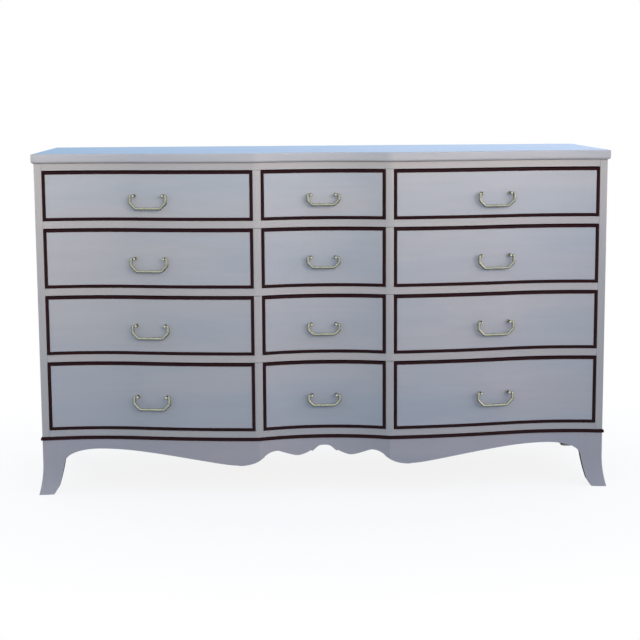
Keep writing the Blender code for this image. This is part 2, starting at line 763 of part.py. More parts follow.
def drawer_box(space):
    """Two sides, a back and a bottom, glued into one box."""
    x_low = space.x_low + SIDE_THICKNESS - TONGUE
    x_high = space.x_high - SIDE_THICKNESS + TONGUE
    front = face_line(x_low, x_high, FRONT_THICKNESS + BOTTOM_FRONT_GAP)
    panel = flat_solid([*front, (x_high, DRAWER_BACK_Y - TONGUE), (x_low, DRAWER_BACK_Y - TONGUE)],
                       space.panel_low, space.panel_high)
    back = box((x_low, DRAWER_BACK_Y - DRAWER_BACK_THICKNESS, space.side_low + BOTTOM_RAISE / 2),
               (x_high, DRAWER_BACK_Y - FIT_GAP, space.side_high - FIT_GAP))
    return united(joined([drawer_side(space, -1), drawer_side(space, 1)]), back, panel)


# Pulls

def post_mesh(sink):
    """A post turned about Z: a seat let into the wood by sink, a neck and a ball."""
    ball = [(0, BAIL_STANDOFF + BALL_RADIUS)]
    ball += [(BALL_RADIUS * math.cos(t), BAIL_STANDOFF + BALL_RADIUS * math.sin(t)) for t in BALL_RINGS]
    seat = [(NECK_RADIUS, SEAT_HEIGHT), (SEAT_RADIUS, SEAT_HEIGHT), (SEAT_RADIUS, -sink), (0, -sink)]
    return turned(ball + seat, POST_SIDES)


def posts_mesh(size, sink, seat):
    """The two posts of a pull, standing on the drawer front."""
    outward = Matrix.Rotation(math.pi / 2, 4, "X")
    posts = joined([tidy(post_mesh(sink), seat @ Matrix.Translation((side * size["posts"] / 2, 0, 0)) @ outward)
                    for side in (-1, 1)])
    for face in posts.polygons:
        face.material_index = 1
        face.use_smooth = True
    return posts


def socket_drills(size, hinge):
    """Guides for the blind sockets that hold the bail, one on the outer side of each ball."""
    drills = []
    for side in (-1, 1):
        bm = bmesh.new()
        deep_end = size["posts"] / 2 + BALL_RADIUS - SOCKET_DEPTH
        length = SOCKET_DEPTH + BALL_RADIUS
        across = Matrix.Translation((side * (deep_end + length / 2), 0, 0)) @ Matrix.Rotation(math.pi / 2, 4, "Y")
        bmesh.ops.create_cone(bm, cap_ends=True, segments=8, radius1=SOCKET_RADIUS, radius2=SOCKET_RADIUS,
                              depth=length, matrix=hinge @ across)
        drill = bpy.data.meshes.new("drill")
        bm.to_mesh(drill)
        bm.free()
        drills.append(drill)
    return joined(drills)


def bail_curve(size):
    """The bail as a bent wire with its hinge along local X: pins, elbows, arms, chamfers and bar."""
    ball_face = size["posts"] / 2 + BALL_RADIUS
    shoulder = ball_face + FIT_GAP
    arm = shoulder + ARM_RADIUS
    pin_end = ball_face - SOCKET_DEPTH + FIT_GAP
    bar = -size["drop"]
    chamfer = size["chamfer"]
    half = [(pin_end, 0, PIN_RADIUS), (shoulder, 0, PIN_RADIUS), (shoulder + FIT_GAP, 0, ELBOW_RADIUS),
            (arm, -ARM_RADIUS / 2, ARM_RADIUS), (arm, bar + chamfer, ARM_RADIUS), (arm - chamfer, bar, BAR_RADIUS)]
    curve = bpy.data.curves.new("bail", "CURVE")
    curve.dimensions = "3D"
    curve.bevel_depth = BAR_RADIUS
    curve.bevel_resolution = 2
    curve.use_fill_caps = True
    spline = curve.splines.new("POLY")
    spline.points.add(2 * len(half) - 1)
    for point, (x, z, radius) in zip(spline.points, half + [(-x, z, r) for x, z, r in half[::-1]]):
        point.co = (x, 0, z, 1)
        point.radius = radius / BAR_RADIUS
    return curve


def pull_seat(column, row, size):
    """Place of a pull on the curved face, and how deep its seats are let in to lie flush all round."""
    middle = sum(COLUMNS[column]) / 2 - PULL_SHIFT * SIDE_OF[column]
    left, right = middle - size["posts"] / 2, middle + size["posts"] / 2
    slope = (face_y(right) - face_y(left)) / (right - left)
    chord = (face_y(right) + face_y(left)) / 2
    edges = [x + step for x in (left, right) for step in (-SEAT_RADIUS, 0, SEAT_RADIUS)]
    hollow = max(face_y(x) - chord - slope * (x - middle) for x in edges)
    height = sum(drawer_heights(row)) / 2
    seat = Matrix.Translation((middle, chord, height)) @ Matrix.Rotation(math.atan(slope), 4, "Z")
    return seat, max(hollow, 0) + SEAT_SINK


def add_drawer(model, row, column, bail_data):
    """One drawer: its front with the two posts, its bead, its box and its bail."""
    space = DrawerSpace(row, column)
    name = f"{row}_{column}"
    size = CENTRE_PULL if column == CENTRE else SIDE_PULL
    seat, sink = pull_seat(column, row, size)
    hinge = seat @ Matrix.Translation((0, -BAIL_STANDOFF, 0))
    slide = model.axis(f"{name}_slide", seat.translation)
    board = united(front_board(space), posts_mesh(size, sink, seat))
    board.set_sharp_from_angle(angle=SHARP_ANGLE)
    front = model.node(f"{name}_front", board, (model.paint, model.brass), slide)
    cut(front, model.cutter(f"{name}_sockets", joined([sockets(space), socket_drills(size, hinge)]), slide))
    model.node(f"{name}_bead", cock_bead(space), (model.mahogany,), slide)
    model.node(f"{name}_box", drawer_box(space), (model.wood,), slide)
    bail = model.node(f"{name}_bail", bail_data, (model.brass,), slide)
    bail.matrix_basis = hinge


def build():
    """The whole dresser."""
    model = Model()
    model.node("top_board", top_board(), (model.paint,))
    model.node("left_end_panel", end_panel(-1), (model.paint,))
    model.node("right_end_panel", end_panel(1), (model.paint,))
    model.node("back_panel", back_panel(), (model.wood,))
    model.node("base_bead", base_bead(), (model.mahogany,))
    model.node("front_apron_and_feet", front_base(), (model.paint,))
    model.node("left_side_apron_and_foot", side_base(-1), (model.paint,))
    model.node("right_side_apron_and_foot", side_base(1), (model.paint,))
    for number, row in enumerate(ROW_NAMES):
        model.node(f"{row}_tier_frame", tier(number), (model.paint,))
    bails = {column: bail_curve(CENTRE_PULL if column == CENTRE else SIDE_PULL) for column in COLUMNS}
    for row in ROW_NAMES:
        for column in COLUMNS:
            add_drawer(model, row, column, bails[column])


build()
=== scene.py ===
"""Looks of the serpentine-front dresser: fine pieces, finishes, floor, light and camera.

Metres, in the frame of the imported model. Sizes that the model holds are read from its boxes
and joints; the curves that a box can't give are repeated here.
"""
import json
import math

import bmesh
import bpy
from mathutils import Matrix, Vector
from mathutils.geometry import interpolate_bezier


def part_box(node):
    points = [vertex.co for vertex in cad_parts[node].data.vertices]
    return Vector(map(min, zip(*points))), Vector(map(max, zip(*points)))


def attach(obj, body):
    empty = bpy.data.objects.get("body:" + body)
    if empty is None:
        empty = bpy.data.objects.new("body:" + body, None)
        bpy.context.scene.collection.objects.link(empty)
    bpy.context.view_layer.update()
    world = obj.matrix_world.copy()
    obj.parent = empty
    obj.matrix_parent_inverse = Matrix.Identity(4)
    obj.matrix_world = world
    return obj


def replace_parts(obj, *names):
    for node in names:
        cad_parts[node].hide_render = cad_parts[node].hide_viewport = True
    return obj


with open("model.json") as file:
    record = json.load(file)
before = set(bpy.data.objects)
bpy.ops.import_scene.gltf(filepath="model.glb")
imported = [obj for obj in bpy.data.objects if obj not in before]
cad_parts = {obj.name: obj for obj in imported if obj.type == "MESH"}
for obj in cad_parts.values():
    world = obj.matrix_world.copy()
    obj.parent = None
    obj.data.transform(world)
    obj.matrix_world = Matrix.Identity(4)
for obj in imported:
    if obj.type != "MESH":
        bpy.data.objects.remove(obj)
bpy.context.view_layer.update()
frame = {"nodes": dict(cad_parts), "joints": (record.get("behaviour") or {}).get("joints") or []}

# Places nearer than SAME count as one, and points added to an edge keep SPACING from the others
SAME = 1e-5
SPACING = 1e-4
SHARP_ANGLE = math.radians(35)

# Front curve in plan
CASE_DEPTH = 0.507
PARTITION_X = 0.1747
PARTITION_HALF = 0.01035
CENTRE_SAGITTA = 0.0323
SWELL_RADIUS = 2.012
END_HOLLOW_RADIUS = 0.6845
TURN_X = 0.4936
TURN_SLOPE = 0.206
STATION_STEP = 0.012

# Case
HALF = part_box("right_end_panel")[1].x
END_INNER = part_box("right_end_panel")[0].x
CASE_BOTTOM, CASE_TOP = (corner.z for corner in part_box("right_end_panel"))
BACK_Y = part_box("back_panel")[1].y
BACK_PANEL_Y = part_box("back_panel")[0].y
TOP_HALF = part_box("top_board")[1].x
TOP_LOW, TOP_HIGH = (corner.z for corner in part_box("top_board"))
FRONT_Y = BACK_Y - CASE_DEPTH
TOP_FRONT_OVERHANG = 0.009
TOP_UPPER_ROUND = 0.003
TOP_LOWER_ROUND = 0.007
END_EDGE = 0.0006
INNER_FACING = -0.5
FIT_GAP = 0.0003

# Rails, runners and uprights
TOP_RAIL = 0.01895
RAIL_DEPTH = 0.062
RUNNER_WIDTH = 0.050
REAR_RAIL_DEPTH = 0.045
DUST_PANEL_THICKNESS = 0.005
TONGUE = 0.004
PAINTED_DEPTH = 0.009
FRAME_REACH = END_INNER - FIT_GAP
FRAME_REAR = BACK_PANEL_Y - FIT_GAP

# Base bead, apron and feet
BEAD_LOW, BEAD_HIGH = (corner.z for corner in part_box("base_bead"))
BASE_BEAD_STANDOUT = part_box("base_bead")[1].x - HALF
BASE_BEAD_INSET = 0.016
BASE_BEAD_ROUND = 0.0036
APRON_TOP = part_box("front_apron_and_feet")[1].z
APRON_THICKNESS = 0.020
FOOT_THICKNESS = 0.022
FOOT_WIDTH = 0.0575
FOOT_ARCH_START = 0.0865
FOOT_BOTTOM_WIDTH = 0.0281
FOOT_HEEL = (0.0410, 0.0195)
FOOT_KNEE = (0.0499, 0.051)
REAR_TOE_WIDTH = 0.028
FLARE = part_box("front_apron_and_feet")[1].x - HALF
FLARE_HEIGHT = 0.086
TOE_RINGS = 5
FOOT_RINGS = 18
FOOT_STATIONS = 4
FOOT_CORNER_ROUND = 0.0012
OUTWARD = 0.3
ARCH_POINTS = 16
ARCH_CREST = 0.1206
ARCH_LENGTH = 0.0945
ARCH_SPRING = (0.007, 0.0285)
ARCH_CREST_REACH = 0.032
HUMP_TOP = 0.1273
HUMP_REACH = 0.016
HUMP_FOOT_HANDLE = (0.0167, 0.1246)
HUMP_FOOT = (0.032, 0.1108)
NICK_TOP = (0.037, 0.1128)
NICK_HANDLE = (0.0427, 0.1088)
FIRST_LOBE = (0.071, 0.1008)
FIRST_LOBE_REACHES = (0.0098, 0.0171)
SMALL_CREST = (0.127, 0.1163)
SMALL_CREST_REACHES = (0.0064, 0.0402)
SECOND_NICK = 0.162
NICK_STEP = 0.0015
GREAT_LOBE = (0.235, 0.0800)
GREAT_LOBE_REACHES = (0.0731, 0.050)
FRONT_ARCH_REACH = 0.152

# Drawers
FRONT_THICKNESS = 0.022
FRONT_EDGE = 0.0008
BEAD_THICKNESS = 0.0068
BEAD_STANDOUT = 0.0030
BEAD_SLOPE = 0.85
NOSE_STEPS = 10
# The upper bead reaches this much further down: dark bead where its shadow on the board falls, a painted
# shadow
UPPER_BEAD_PAINTED_SHADOW = 0.0010
RAIL_TRIM = 0.0008
BEAD_RABBET = 0.007
SIDE_THICKNESS = 0.0125
FRONT_GAP = 0.0015
RUNNING_GAP = 0.0005
DRAWER_BACK_THICKNESS = 0.012
BOTTOM_RAISE = 0.010
BOTTOM_THICKNESS = 0.006
TAIL_LENGTH = 0.010
TAIL_PITCH = 0.045
TAIL_SHARE = 0.30
TAIL_TAPER = 1 / 6

# Pulls
BAR_RADIUS = 0.0035
ARM_RADIUS = 0.0041
BALL_RADIUS = 0.0042
BALL_ARC = math.radians(154)
BALL_STEPS = 14
BAIL_STANDOFF = 0.017
NECK_RADIUS = 0.0021
NECK_WAIST = 0.9
WAIST_DROP = 0.003
NECK_FOOT = 0.0012
NECK_FLARE = 0.0006
NECK_FLARE_HEIGHT = 0.001
SEAT_RADIUS = 0.0042
SEAT_HEIGHT = 0.0022
SEAT_EDGE = (0.0005, 0.0006)
SEAT_SINK = 0.0003
PIN_RADIUS = 0.0016
SOCKET_RADIUS = 0.0020
SOCKET_DEPTH = 0.0048
PULLS = {
    "side": {"posts": 0.0785, "drop": 0.0335, "chamfer": 0.0150},
    "centre": {"posts": 0.0650, "drop": 0.0265, "chamfer": 0.0120},
}
BEND_RADIUS = 0.0030
SCREW_HEAD_RADIUS = 0.0040
SCREW_HEAD_HEIGHT = 0.0022
SCREW_SLOT_HALF = 0.00045

SIDES = ((-1, "left"), (1, "right"))
ROWS = ("bottom", "lower", "upper", "top")
INNER_EDGE = PARTITION_X + PARTITION_HALF
COLUMNS = {
    "left": (-END_INNER, -INNER_EDGE),
    "centre": (PARTITION_HALF - PARTITION_X, PARTITION_X - PARTITION_HALF),
    "right": (INNER_EDGE, END_INNER),
}


# Curves

def raw_front(x):
    """Front curve before it is moved into place."""
    a = abs(x)
    if a > TURN_X:
        centre = TURN_X + END_HOLLOW_RADIUS * math.sin(TURN_SLOPE)
        base = -END_HOLLOW_RADIUS * math.cos(TURN_SLOPE)
        return base + math.sqrt(max(END_HOLLOW_RADIUS ** 2 - (a - centre) ** 2, 0))
    centre = TURN_X - SWELL_RADIUS * math.sin(TURN_SLOPE)
    base = SWELL_RADIUS * math.cos(TURN_SLOPE)
    side = base - math.sqrt(max(SWELL_RADIUS ** 2 - (max(a, PARTITION_X) - centre) ** 2, 0))
    if a >= PARTITION_X:
        return side
    radius = (PARTITION_X ** 2 + CENTRE_SAGITTA ** 2) / (2 * CENTRE_SAGITTA)
    return side + CENTRE_SAGITTA - radius + math.sqrt(radius ** 2 - a ** 2)


def face_y(x):
    """Y of the case face at x."""
    return raw_front(x) - raw_front(HALF) + FRONT_Y


def face_line(x_start, x_end, shift=0.0):
    """Points of the face between two x, close enough to look smooth, with the ridges among them."""
    knots = [x_start, *[r for r in (-PARTITION_X, PARTITION_X) if x_start < r < x_end], x_end]
    line = []
    for first, last in zip(knots, knots[1:]):
        count = max(1, round((last - first) / STATION_STEP))
        line += [first + (last - first) * k / count for k in range(count)]
    return [(x, face_y(x) + shift) for x in [*line, x_end]]


def bezier(start, start_handle, end_handle, end, count):
    """Points of one cubic stretch, both ends included."""
    knots = [Vector((*p, 0)) for p in (start, start_handle, end_handle, end)]
    return [(p.x, p.y) for p in interpolate_bezier(*knots, count + 1)]


def level_curve(start, end, start_reach, end_reach, count):
    """A stretch that leaves start and reaches end along the horizontal."""
    return bezier(start, (start[0] + start_reach, start[1]), (end[0] - end_reach, end[1]), end, count)


# Mesh tools

ALONG_X = Matrix(((0, 0, 1, 0), (1, 0, 0, 0), (0, 1, 0, 0), (0, 0, 0, 1)))


def placed(name, data):
    """A new object in the scene."""
    made = bpy.data.objects.new(name, data)
    bpy.context.scene.collection.objects.link(made)
    return made


def final_mesh(made):
    """The mesh of an object as its modifiers leave it; the object goes."""
    graph = bpy.context.evaluated_depsgraph_get()
    mesh = bpy.data.meshes.new_from_object(made.evaluated_get(graph))
    bpy.data.objects.remove(made)
    return mesh


def new_mesh(bm):
    """The mesh of a bmesh, with its faces turned outward."""
    bmesh.ops.recalc_face_normals(bm, faces=bm.faces)
    mesh = bpy.data.meshes.new("piece")
    bm.to_mesh(mesh)
    bm.free()
    return mesh


def loft(rings):
    """A closed solid through rings of equally many points."""
    bm = bmesh.new()
    loops = [[bm.verts.new(p) for p in ring] for ring in rings]
    for lower, upper in zip(loops, loops[1:]):
        for k in range(len(lower)):
            n = (k + 1) % len(lower)
            bm.faces.new((lower[k], lower[n], upper[n], upper[k]))
    bm.faces.new(loops[0])
    bm.faces.new(loops[-1])
    return new_mesh(bm)


def prism(outline, low, high, matrix=None):
    """A closed outline in the XY plane, thickened from low to high along Z."""
    mesh = loft([[(x, y, z) for x, y in outline] for z in (low, high)])
    if matrix:
        mesh.transform(matrix)
    return mesh


def board(low, high):
    """A plain board between two corners."""
    outline = [(low[0], low[1]), (high[0], low[1]), (high[0], high[1]), (low[0], high[1])]
    return prism(outline, low[2], high[2])


def curved_board(x_low, x_high, shift, rear, z_low, z_high):
    """A board whose front follows the face curve, moved by shift, and whose back is straight."""
    return prism([*face_line(x_low, x_high, shift), (x_high, rear), (x_low, rear)], z_low, z_high)


def turned(profile, sides):
    """A solid turned about Z from an (r, z) profile whose two ends lie on the axis."""
    bm = bmesh.new()
    rings = []
    for r, z in profile[1:-1]:
        angles = [2 * math.pi * k / sides for k in range(sides)]
        rings.append([bm.verts.new((r * math.cos(t), r * math.sin(t), z)) for t in angles])
    for upper, lower in zip(rings, rings[1:]):
        for k in range(sides):
            n = (k + 1) % sides
            bm.faces.new((upper[k], upper[n], lower[n], lower[k]))
    for (_, z), ring in ((profile[0], rings[0]), (profile[-1], rings[-1])):
        tip = bm.verts.new((0, 0, z))
        for k in range(sides):
            bm.faces.new((ring[k], ring[(k + 1) % sides], tip))
    return new_mesh(bm)


def joined(meshes):
    """One mesh that holds several solids."""
    bm = bmesh.new()
    for mesh in meshes:
        bm.from_mesh(mesh)
    return new_mesh(bm)


def bevelled(mesh, chosen, radius, segments, clamped=False):
    """Rounds the edges that satisfy the chosen test."""
    bm = bmesh.new()
    bm.from_mesh(mesh)
    edges = [edge for edge in bm.edges if chosen(edge)]
    bmesh.ops.bevel(bm, geom=edges, offset=radius, segments=segments, profile=0.5, affect="EDGES",
                    clamp_overlap=clamped)
    return new_mesh(bm)


def rounded(mesh, chosen, radius, segments):
    """Rounds the edges whose two ends satisfy the chosen test."""
    return bevelled(mesh, lambda edge: chosen(edge.verts[0].co, edge.verts[1].co), radius, segments)


def softened(mesh, radius):
    """Takes the sharpness off every corner edge."""
    def sharp(edge):
        return len(edge.link_faces) == 2 and edge.calc_face_angle() > SHARP_ANGLE
    return bevelled(mesh, sharp, radius, segments=2, clamped=True)


def carved(first, other):
    """The first solid less the other."""
    base, cutter = placed("base", first), placed("cutter", other)
    modifier = base.modifiers.new("Boolean", "BOOLEAN")
    modifier.operation = "DIFFERENCE"
    modifier.solver = "EXACT"
    modifier.object = cutter
    mesh = final_mesh(base)
    bpy.data.objects.remove(cutter)
    return mesh


def on_face_line(point, shift):
    """Whether a point lies on the face line moved by shift along Y."""
    return abs(point.y - face_y(point.x) - shift) < SAME


def depth_behind(face):
    """How far a mesh face lies behind the face curve."""
    return face.center.y - face_y(face.center.x)


# Finishes

class Finish:
    """A Principled material, with short calls that add nodes to it."""

    def __init__(self, name, roughness, metallic=0.0):
        self.material = bpy.data.materials.new(name)
        self.material.use_nodes = True
        self.tree = self.material.node_tree
        self.shader = self.tree.nodes["Principled BSDF"]
        self.shader.inputs["Roughness"].default_value = roughness
        self.shader.inputs["Metallic"].default_value = metallic

    def node(self, kind, **inputs):
        made = self.tree.nodes.new(kind)
        for key, value in inputs.items():
            made.inputs[key.replace("_", " ")].default_value = value
        return made

    def link(self, output, target):
        self.tree.links.new(output, target)

    def stretched(self, scale):
        """Object coordinates scaled along each axis."""
        coordinates = self.node("ShaderNodeTexCoord")
        mapping = self.node("ShaderNodeMapping", Scale=scale)
        self.link(coordinates.outputs["Object"], mapping.inputs["Vector"])
        return mapping.outputs["Vector"]

    def noise(self, scale, detail=3.0, roughness=0.5, distortion=0.0):
        """A noise value, from 0 to 1, over object coordinates scaled along each axis."""
        vector = self.stretched(scale)
        made = self.node("ShaderNodeTexNoise", Scale=1.0, Detail=detail, Roughness=roughness,
                         Distortion=distortion)
        self.link(vector, made.inputs["Vector"])
        return made.outputs["Fac"]

    def operation(self, kind, name, first):
        """A math node whose first input is linked."""
        made = self.tree.nodes.new(kind)
        made.operation = name
        self.link(first, made.inputs[0])
        return made

    def ramp(self, value, stops):
        """A colour for a value, through (position, colour) stops."""
        made = self.node("ShaderNodeValToRGB")
        elements = made.color_ramp.elements
        while len(elements) < len(stops):
            elements.new(0.5)
        for element, (position, colour) in zip(elements, stops):
            element.position = position
            element.color = (*colour, 1)
        self.link(value, made.inputs["Fac"])
        return made.outputs["Color"]

    def spread(self, value, low, high, from_low=0.3, from_high=0.7):
        """A value moved from one range to another."""
        made = self.node("ShaderNodeMapRange", From_Min=from_low, From_Max=from_high, To_Min=low, To_Max=high)
        self.link(value, made.inputs["Value"])
        return made.outputs["Result"]

    def tinted(self, colour, value, *limits):
        """A colour made darker or lighter by a value that is moved to the limits."""
        made = self.operation("ShaderNodeVectorMath", "SCALE", colour)
        self.link(self.spread(value, *limits), made.inputs["Scale"])
        return made.outputs["Vector"]

    def surface(self, colour, value, smooth, rough):
        """The base colour, and a roughness that follows a value."""
        self.link(colour, self.shader.inputs["Base Color"])
        self.link(self.spread(value, smooth, rough), self.shader.inputs["Roughness"])

    def bump(self, height, distance, strength):
        made = self.node("ShaderNodeBump", Strength=strength, Distance=distance)
        self.link(height, made.inputs["Height"])
        self.link(made.outputs["Normal"], self.shader.inputs["Normal"])


def along(axis, fine, coarse):
    """Texture scale that draws a pattern out along one axis."""
    return tuple(coarse if name == axis else fine for name in "xyz")


def paint(name, axis, warm, cool):
    """Satin paint brushed on along one axis over a faint grain."""
    finish = Finish(name, roughness=0.4)
    broad = finish.noise(along(axis, 7.0, 1.3), detail=2.0)
    streak = finish.noise(along(axis, 60.0, 2.2), detail=5.0, roughness=0.6)
    brush = finish.noise(along(axis, 900.0, 14.0))
    colour = finish.ramp(broad, [(0.36, warm), (0.62, cool)])
    colour = finish.tinted(colour, streak, 0.965, 1.03)
    finish.surface(colour, brush, 0.36, 0.48)
    finish.bump(brush, distance=0.00006, strength=0.6)
    return finish.material


def mahogany(name, axis):
    """Dark red-brown wood, polished to a low sheen."""
    finish = Finish(name, roughness=0.45)
    deep, light = (0.009, 0.0010, 0.0020), (0.022, 0.0026, 0.0050)
    grain = finish.noise(along(axis, 700.0, 12.0), detail=4.0, roughness=0.65)
    figure = finish.noise(along(axis, 90.0, 5.0), detail=2.0)
    colour = finish.ramp(grain, [(0.30, deep), (0.70, light)])
    colour = finish.tinted(colour, figure, 0.8, 1.2)
    finish.surface(colour, grain, 0.38, 0.52)
    finish.shader.inputs["Specular IOR Level"].default_value = 0.12
    finish.bump(grain, distance=0.00008, strength=0.5)
    return finish.material


def wood_painted_shade():
    """Bare wood darkened almost to black, as painted shade on the inner faces behind and below the front
    apron and feet.
    """
    finish = Finish("wood_painted_shade", roughness=0.7)
    deep, light = (0.012, 0.010, 0.010), (0.032, 0.025, 0.021)
    stain = finish.noise((30, 30, 9), detail=4.0)
    finish.link(finish.ramp(stain, [(0.3, deep), (0.7, light)]), finish.shader.inputs["Base Color"])
    finish.shader.inputs["Specular IOR Level"].default_value = 0.1
    finish.bump(stain, distance=0.0003, strength=0.4)
    return finish.material


def bare_wood(name, axis):
    """Planed, unfinished wood with growth rings drawn out along one axis."""
    finish = Finish(name, roughness=0.62)
    light, dark = (0.56, 0.40, 0.245), (0.42, 0.275, 0.15)
    ring_width = 0.055
    rings = finish.noise(along(axis, 26.0, 1.1), detail=2.5, distortion=0.6)
    repeated = finish.operation("ShaderNodeMath", "PINGPONG", rings)
    repeated.inputs[1].default_value = ring_width
    pores = finish.noise(along(axis, 1100.0, 22.0), detail=4.0, roughness=0.7)
    ring = finish.spread(repeated.outputs["Value"], 0.0, 1.0, 0.0, ring_width)
    colour = finish.ramp(ring, [(0.1, light), (0.95, dark)])
    colour = finish.tinted(colour, pores, 0.90, 1.06)
    finish.surface(colour, pores, 0.55, 0.70)
    finish.bump(pores, distance=0.0002, strength=0.5)
    return finish.material


def brass_with_painted_light(name, front, painted_lit_brass):
    """Pale brass, bright on its front and back and dark around them: painted highlight and painted shade by
    facing, over random tarnish.
    """
    finish = Finish(name, roughness=0.25, metallic=1.0)
    painted_shade_brass = (0.115, 0.118, 0.085)
    tarnish = finish.noise((160, 160, 160), detail=4.0, roughness=0.6)
    scratches = finish.noise((900, 2400, 900), detail=2.0)
    # Painted light: brass facing along front, or straight away from it, takes the lit colour, and brass
    # turned sideways darkens to the painted shade colour
    normal = finish.node("ShaderNodeTexCoord").outputs["Normal"]
    facing = finish.operation("ShaderNodeVectorMath", "DOT_PRODUCT", normal)
    facing.inputs[1].default_value = front
    painted_light_mask = finish.operation("ShaderNodeMath", "ABSOLUTE", facing.outputs["Value"])
    colour = finish.ramp(painted_light_mask.outputs["Value"], [(0.35, painted_shade_brass), (0.92, painted_lit_brass)])
    colour = finish.tinted(colour, tarnish, 1.1, 0.7, 0.35, 0.72)
    finish.surface(colour, tarnish, 0.18, 0.34)
    finish.bump(scratches, distance=0.00003, strength=0.4)
    return finish.material


def steel():
    """Zinc-plated steel of the screws."""
    finish = Finish("screw_steel", roughness=0.35, metallic=1.0)
    dark, light = (0.42, 0.42, 0.40), (0.62, 0.61, 0.57)
    cloud = finish.noise((700, 700, 700))
    finish.surface(finish.ramp(cloud, [(0.3, dark), (0.7, light)]), cloud, 0.28, 0.45)
    return finish.material


CASE_WARM, CASE_COOL = (0.430, 0.408, 0.404), (0.388, 0.380, 0.392)
TOP_WARM, TOP_COOL = (0.425, 0.420, 0.440), (0.385, 0.392, 0.430)
DRAWER_WARM, DRAWER_COOL = (0.417, 0.414, 0.438), (0.367, 0.393, 0.441)
# The base's paint is the case paint made darker in red and green: painted shade for the lower part of the
# dresser
BASE_SHADED_WARM, BASE_SHADED_COOL = (0.396, 0.376, 0.400), (0.356, 0.352, 0.396)
TOP_PAINT = paint("top_paint", "x", TOP_WARM, TOP_COOL)
CASE_PAINT = {axis: paint(f"case_paint_{axis}", axis, CASE_WARM, CASE_COOL) for axis in "xz"}
BASE_PAINT = {axis: paint(f"base_paint_{axis}", axis, BASE_SHADED_WARM, BASE_SHADED_COOL) for axis in "xyz"}
DRAWER_PAINT = paint("drawer_paint", "x", DRAWER_WARM, DRAWER_COOL)
WOOD = {axis: bare_wood(f"bare_wood_{axis}", axis) for axis in "xyz"}
DARK_BEAD = {axis: mahogany(f"mahogany_{axis}", axis) for axis in "xz"}
# Both brasses carry painted highlight and painted shade by facing; the post's lit colour is the brighter one
BAIL_BRASS = brass_with_painted_light("brass_with_painted_light_bail", (0, -0.8, 0.6), (0.45, 0.47, 0.37))
POST_BRASS = brass_with_painted_light("brass_with_painted_light_post", (0, 0, 1), (0.66, 0.67, 0.54))
SCREW_STEEL = steel()
# Near-black painted shade for the inner faces of the front apron and the front feet
WOOD_PAINTED_SHADE = wood_painted_shade()


def piece(name, mesh, body, materials, sharp_angle=SHARP_ANGLE, matrix=None):
    """A shown piece that rides on a body."""
    made = placed(name, mesh)
    if matrix:
        made.matrix_world = matrix
    if not isinstance(materials, tuple):
        materials = (materials,)
    for finish in materials:
        mesh.materials.append(finish)
    mesh.shade_smooth()
    mesh.set_sharp_from_angle(angle=sharp_angle)
    weighted = made.modifiers.new("Weighted", "WEIGHTED_NORMAL")
    weighted.keep_sharp = True
    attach(made, body)
    return made


def bare_behind(mesh, painted_depth):
    """Gives the second material to every face that lies deeper than the painted front."""
    for face in mesh.polygons:
        face.material_index = 0 if depth_behind(face) < painted_depth else 1


# Case

def outer_rim(reach, overhang, level=None):
    """A test for the level edges along the front and the ends of a slab, at one height or at any."""
    def test(a, b):
        on_level = abs(a.z - b.z) < SAME and (level is None or abs(a.z - level) < SAME)
        at_front = all(on_face_line(v, -overhang) for v in (a, b))
        at_side = abs(a.x - b.x) < SAME and abs(abs(a.x) - reach) < SAME
        return on_level and (at_front or at_side)
    return test


def make_top():
    mesh = curved_board(-TOP_HALF, TOP_HALF, -TOP_FRONT_OVERHANG, BACK_Y, TOP_LOW, TOP_HIGH)
    for level, radius, segments in ((TOP_HIGH, TOP_UPPER_ROUND, 4), (TOP_LOW, TOP_LOWER_ROUND, 6)):
        mesh = rounded(mesh, outer_rim(TOP_HALF, TOP_FRONT_OVERHANG, level), radius, segments)
    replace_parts(piece("shaped_top", mesh, "case", TOP_PAINT), "top_board")


def make_ends():
    for side, name in SIDES:
        inner, outer = sorted((side * END_INNER, side * HALF))
        mesh = softened(curved_board(inner, outer, 0, BACK_Y, CASE_BOTTOM, CASE_TOP), END_EDGE)
        for face in mesh.polygons:
            inside = side * face.normal.x < INNER_FACING and depth_behind(face) > PAINTED_DEPTH
            face.material_index = 1 if inside else 0
        panel = piece(f"{name}_end", mesh, "case", (CASE_PAINT["z"], WOOD["z"]))
        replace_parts(panel, f"{name}_end_panel")


def make_back():
    """The panel of the frame itself, in bare wood."""
    materials = frame["nodes"]["back_panel"].data.materials
    materials.clear()
    materials.append(WOOD["z"])


def make_tier(row):
    """A dust frame as its separate boards, and the uprights that stand on it."""
    low, high = (corner.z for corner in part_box(f"{row}_tier_frame"))
    rail_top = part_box(f"{row}_left_box")[0].z - RUNNING_GAP
    upright_top = high - TOP_RAIL if row == "top" else high
    boards = dust_frame(low, rail_top, row, 0 if row == "bottom" else RAIL_TRIM)
    if row == "top":
        boards += dust_frame(upright_top, high, "under_top", RAIL_TRIM)
    for side, name in SIDES:
        left, right = side * PARTITION_X - PARTITION_HALF, side * PARTITION_X + PARTITION_HALF
        mesh = curved_board(left, right, FIT_GAP / 2, FRAME_REAR, rail_top, upright_top)
        bare_behind(mesh, PAINTED_DEPTH)
        boards.append(piece(f"{row}_{name}_upright", mesh, "case", (CASE_PAINT["z"], WOOD["y"])))
    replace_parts(boards[0], f"{row}_tier_frame")


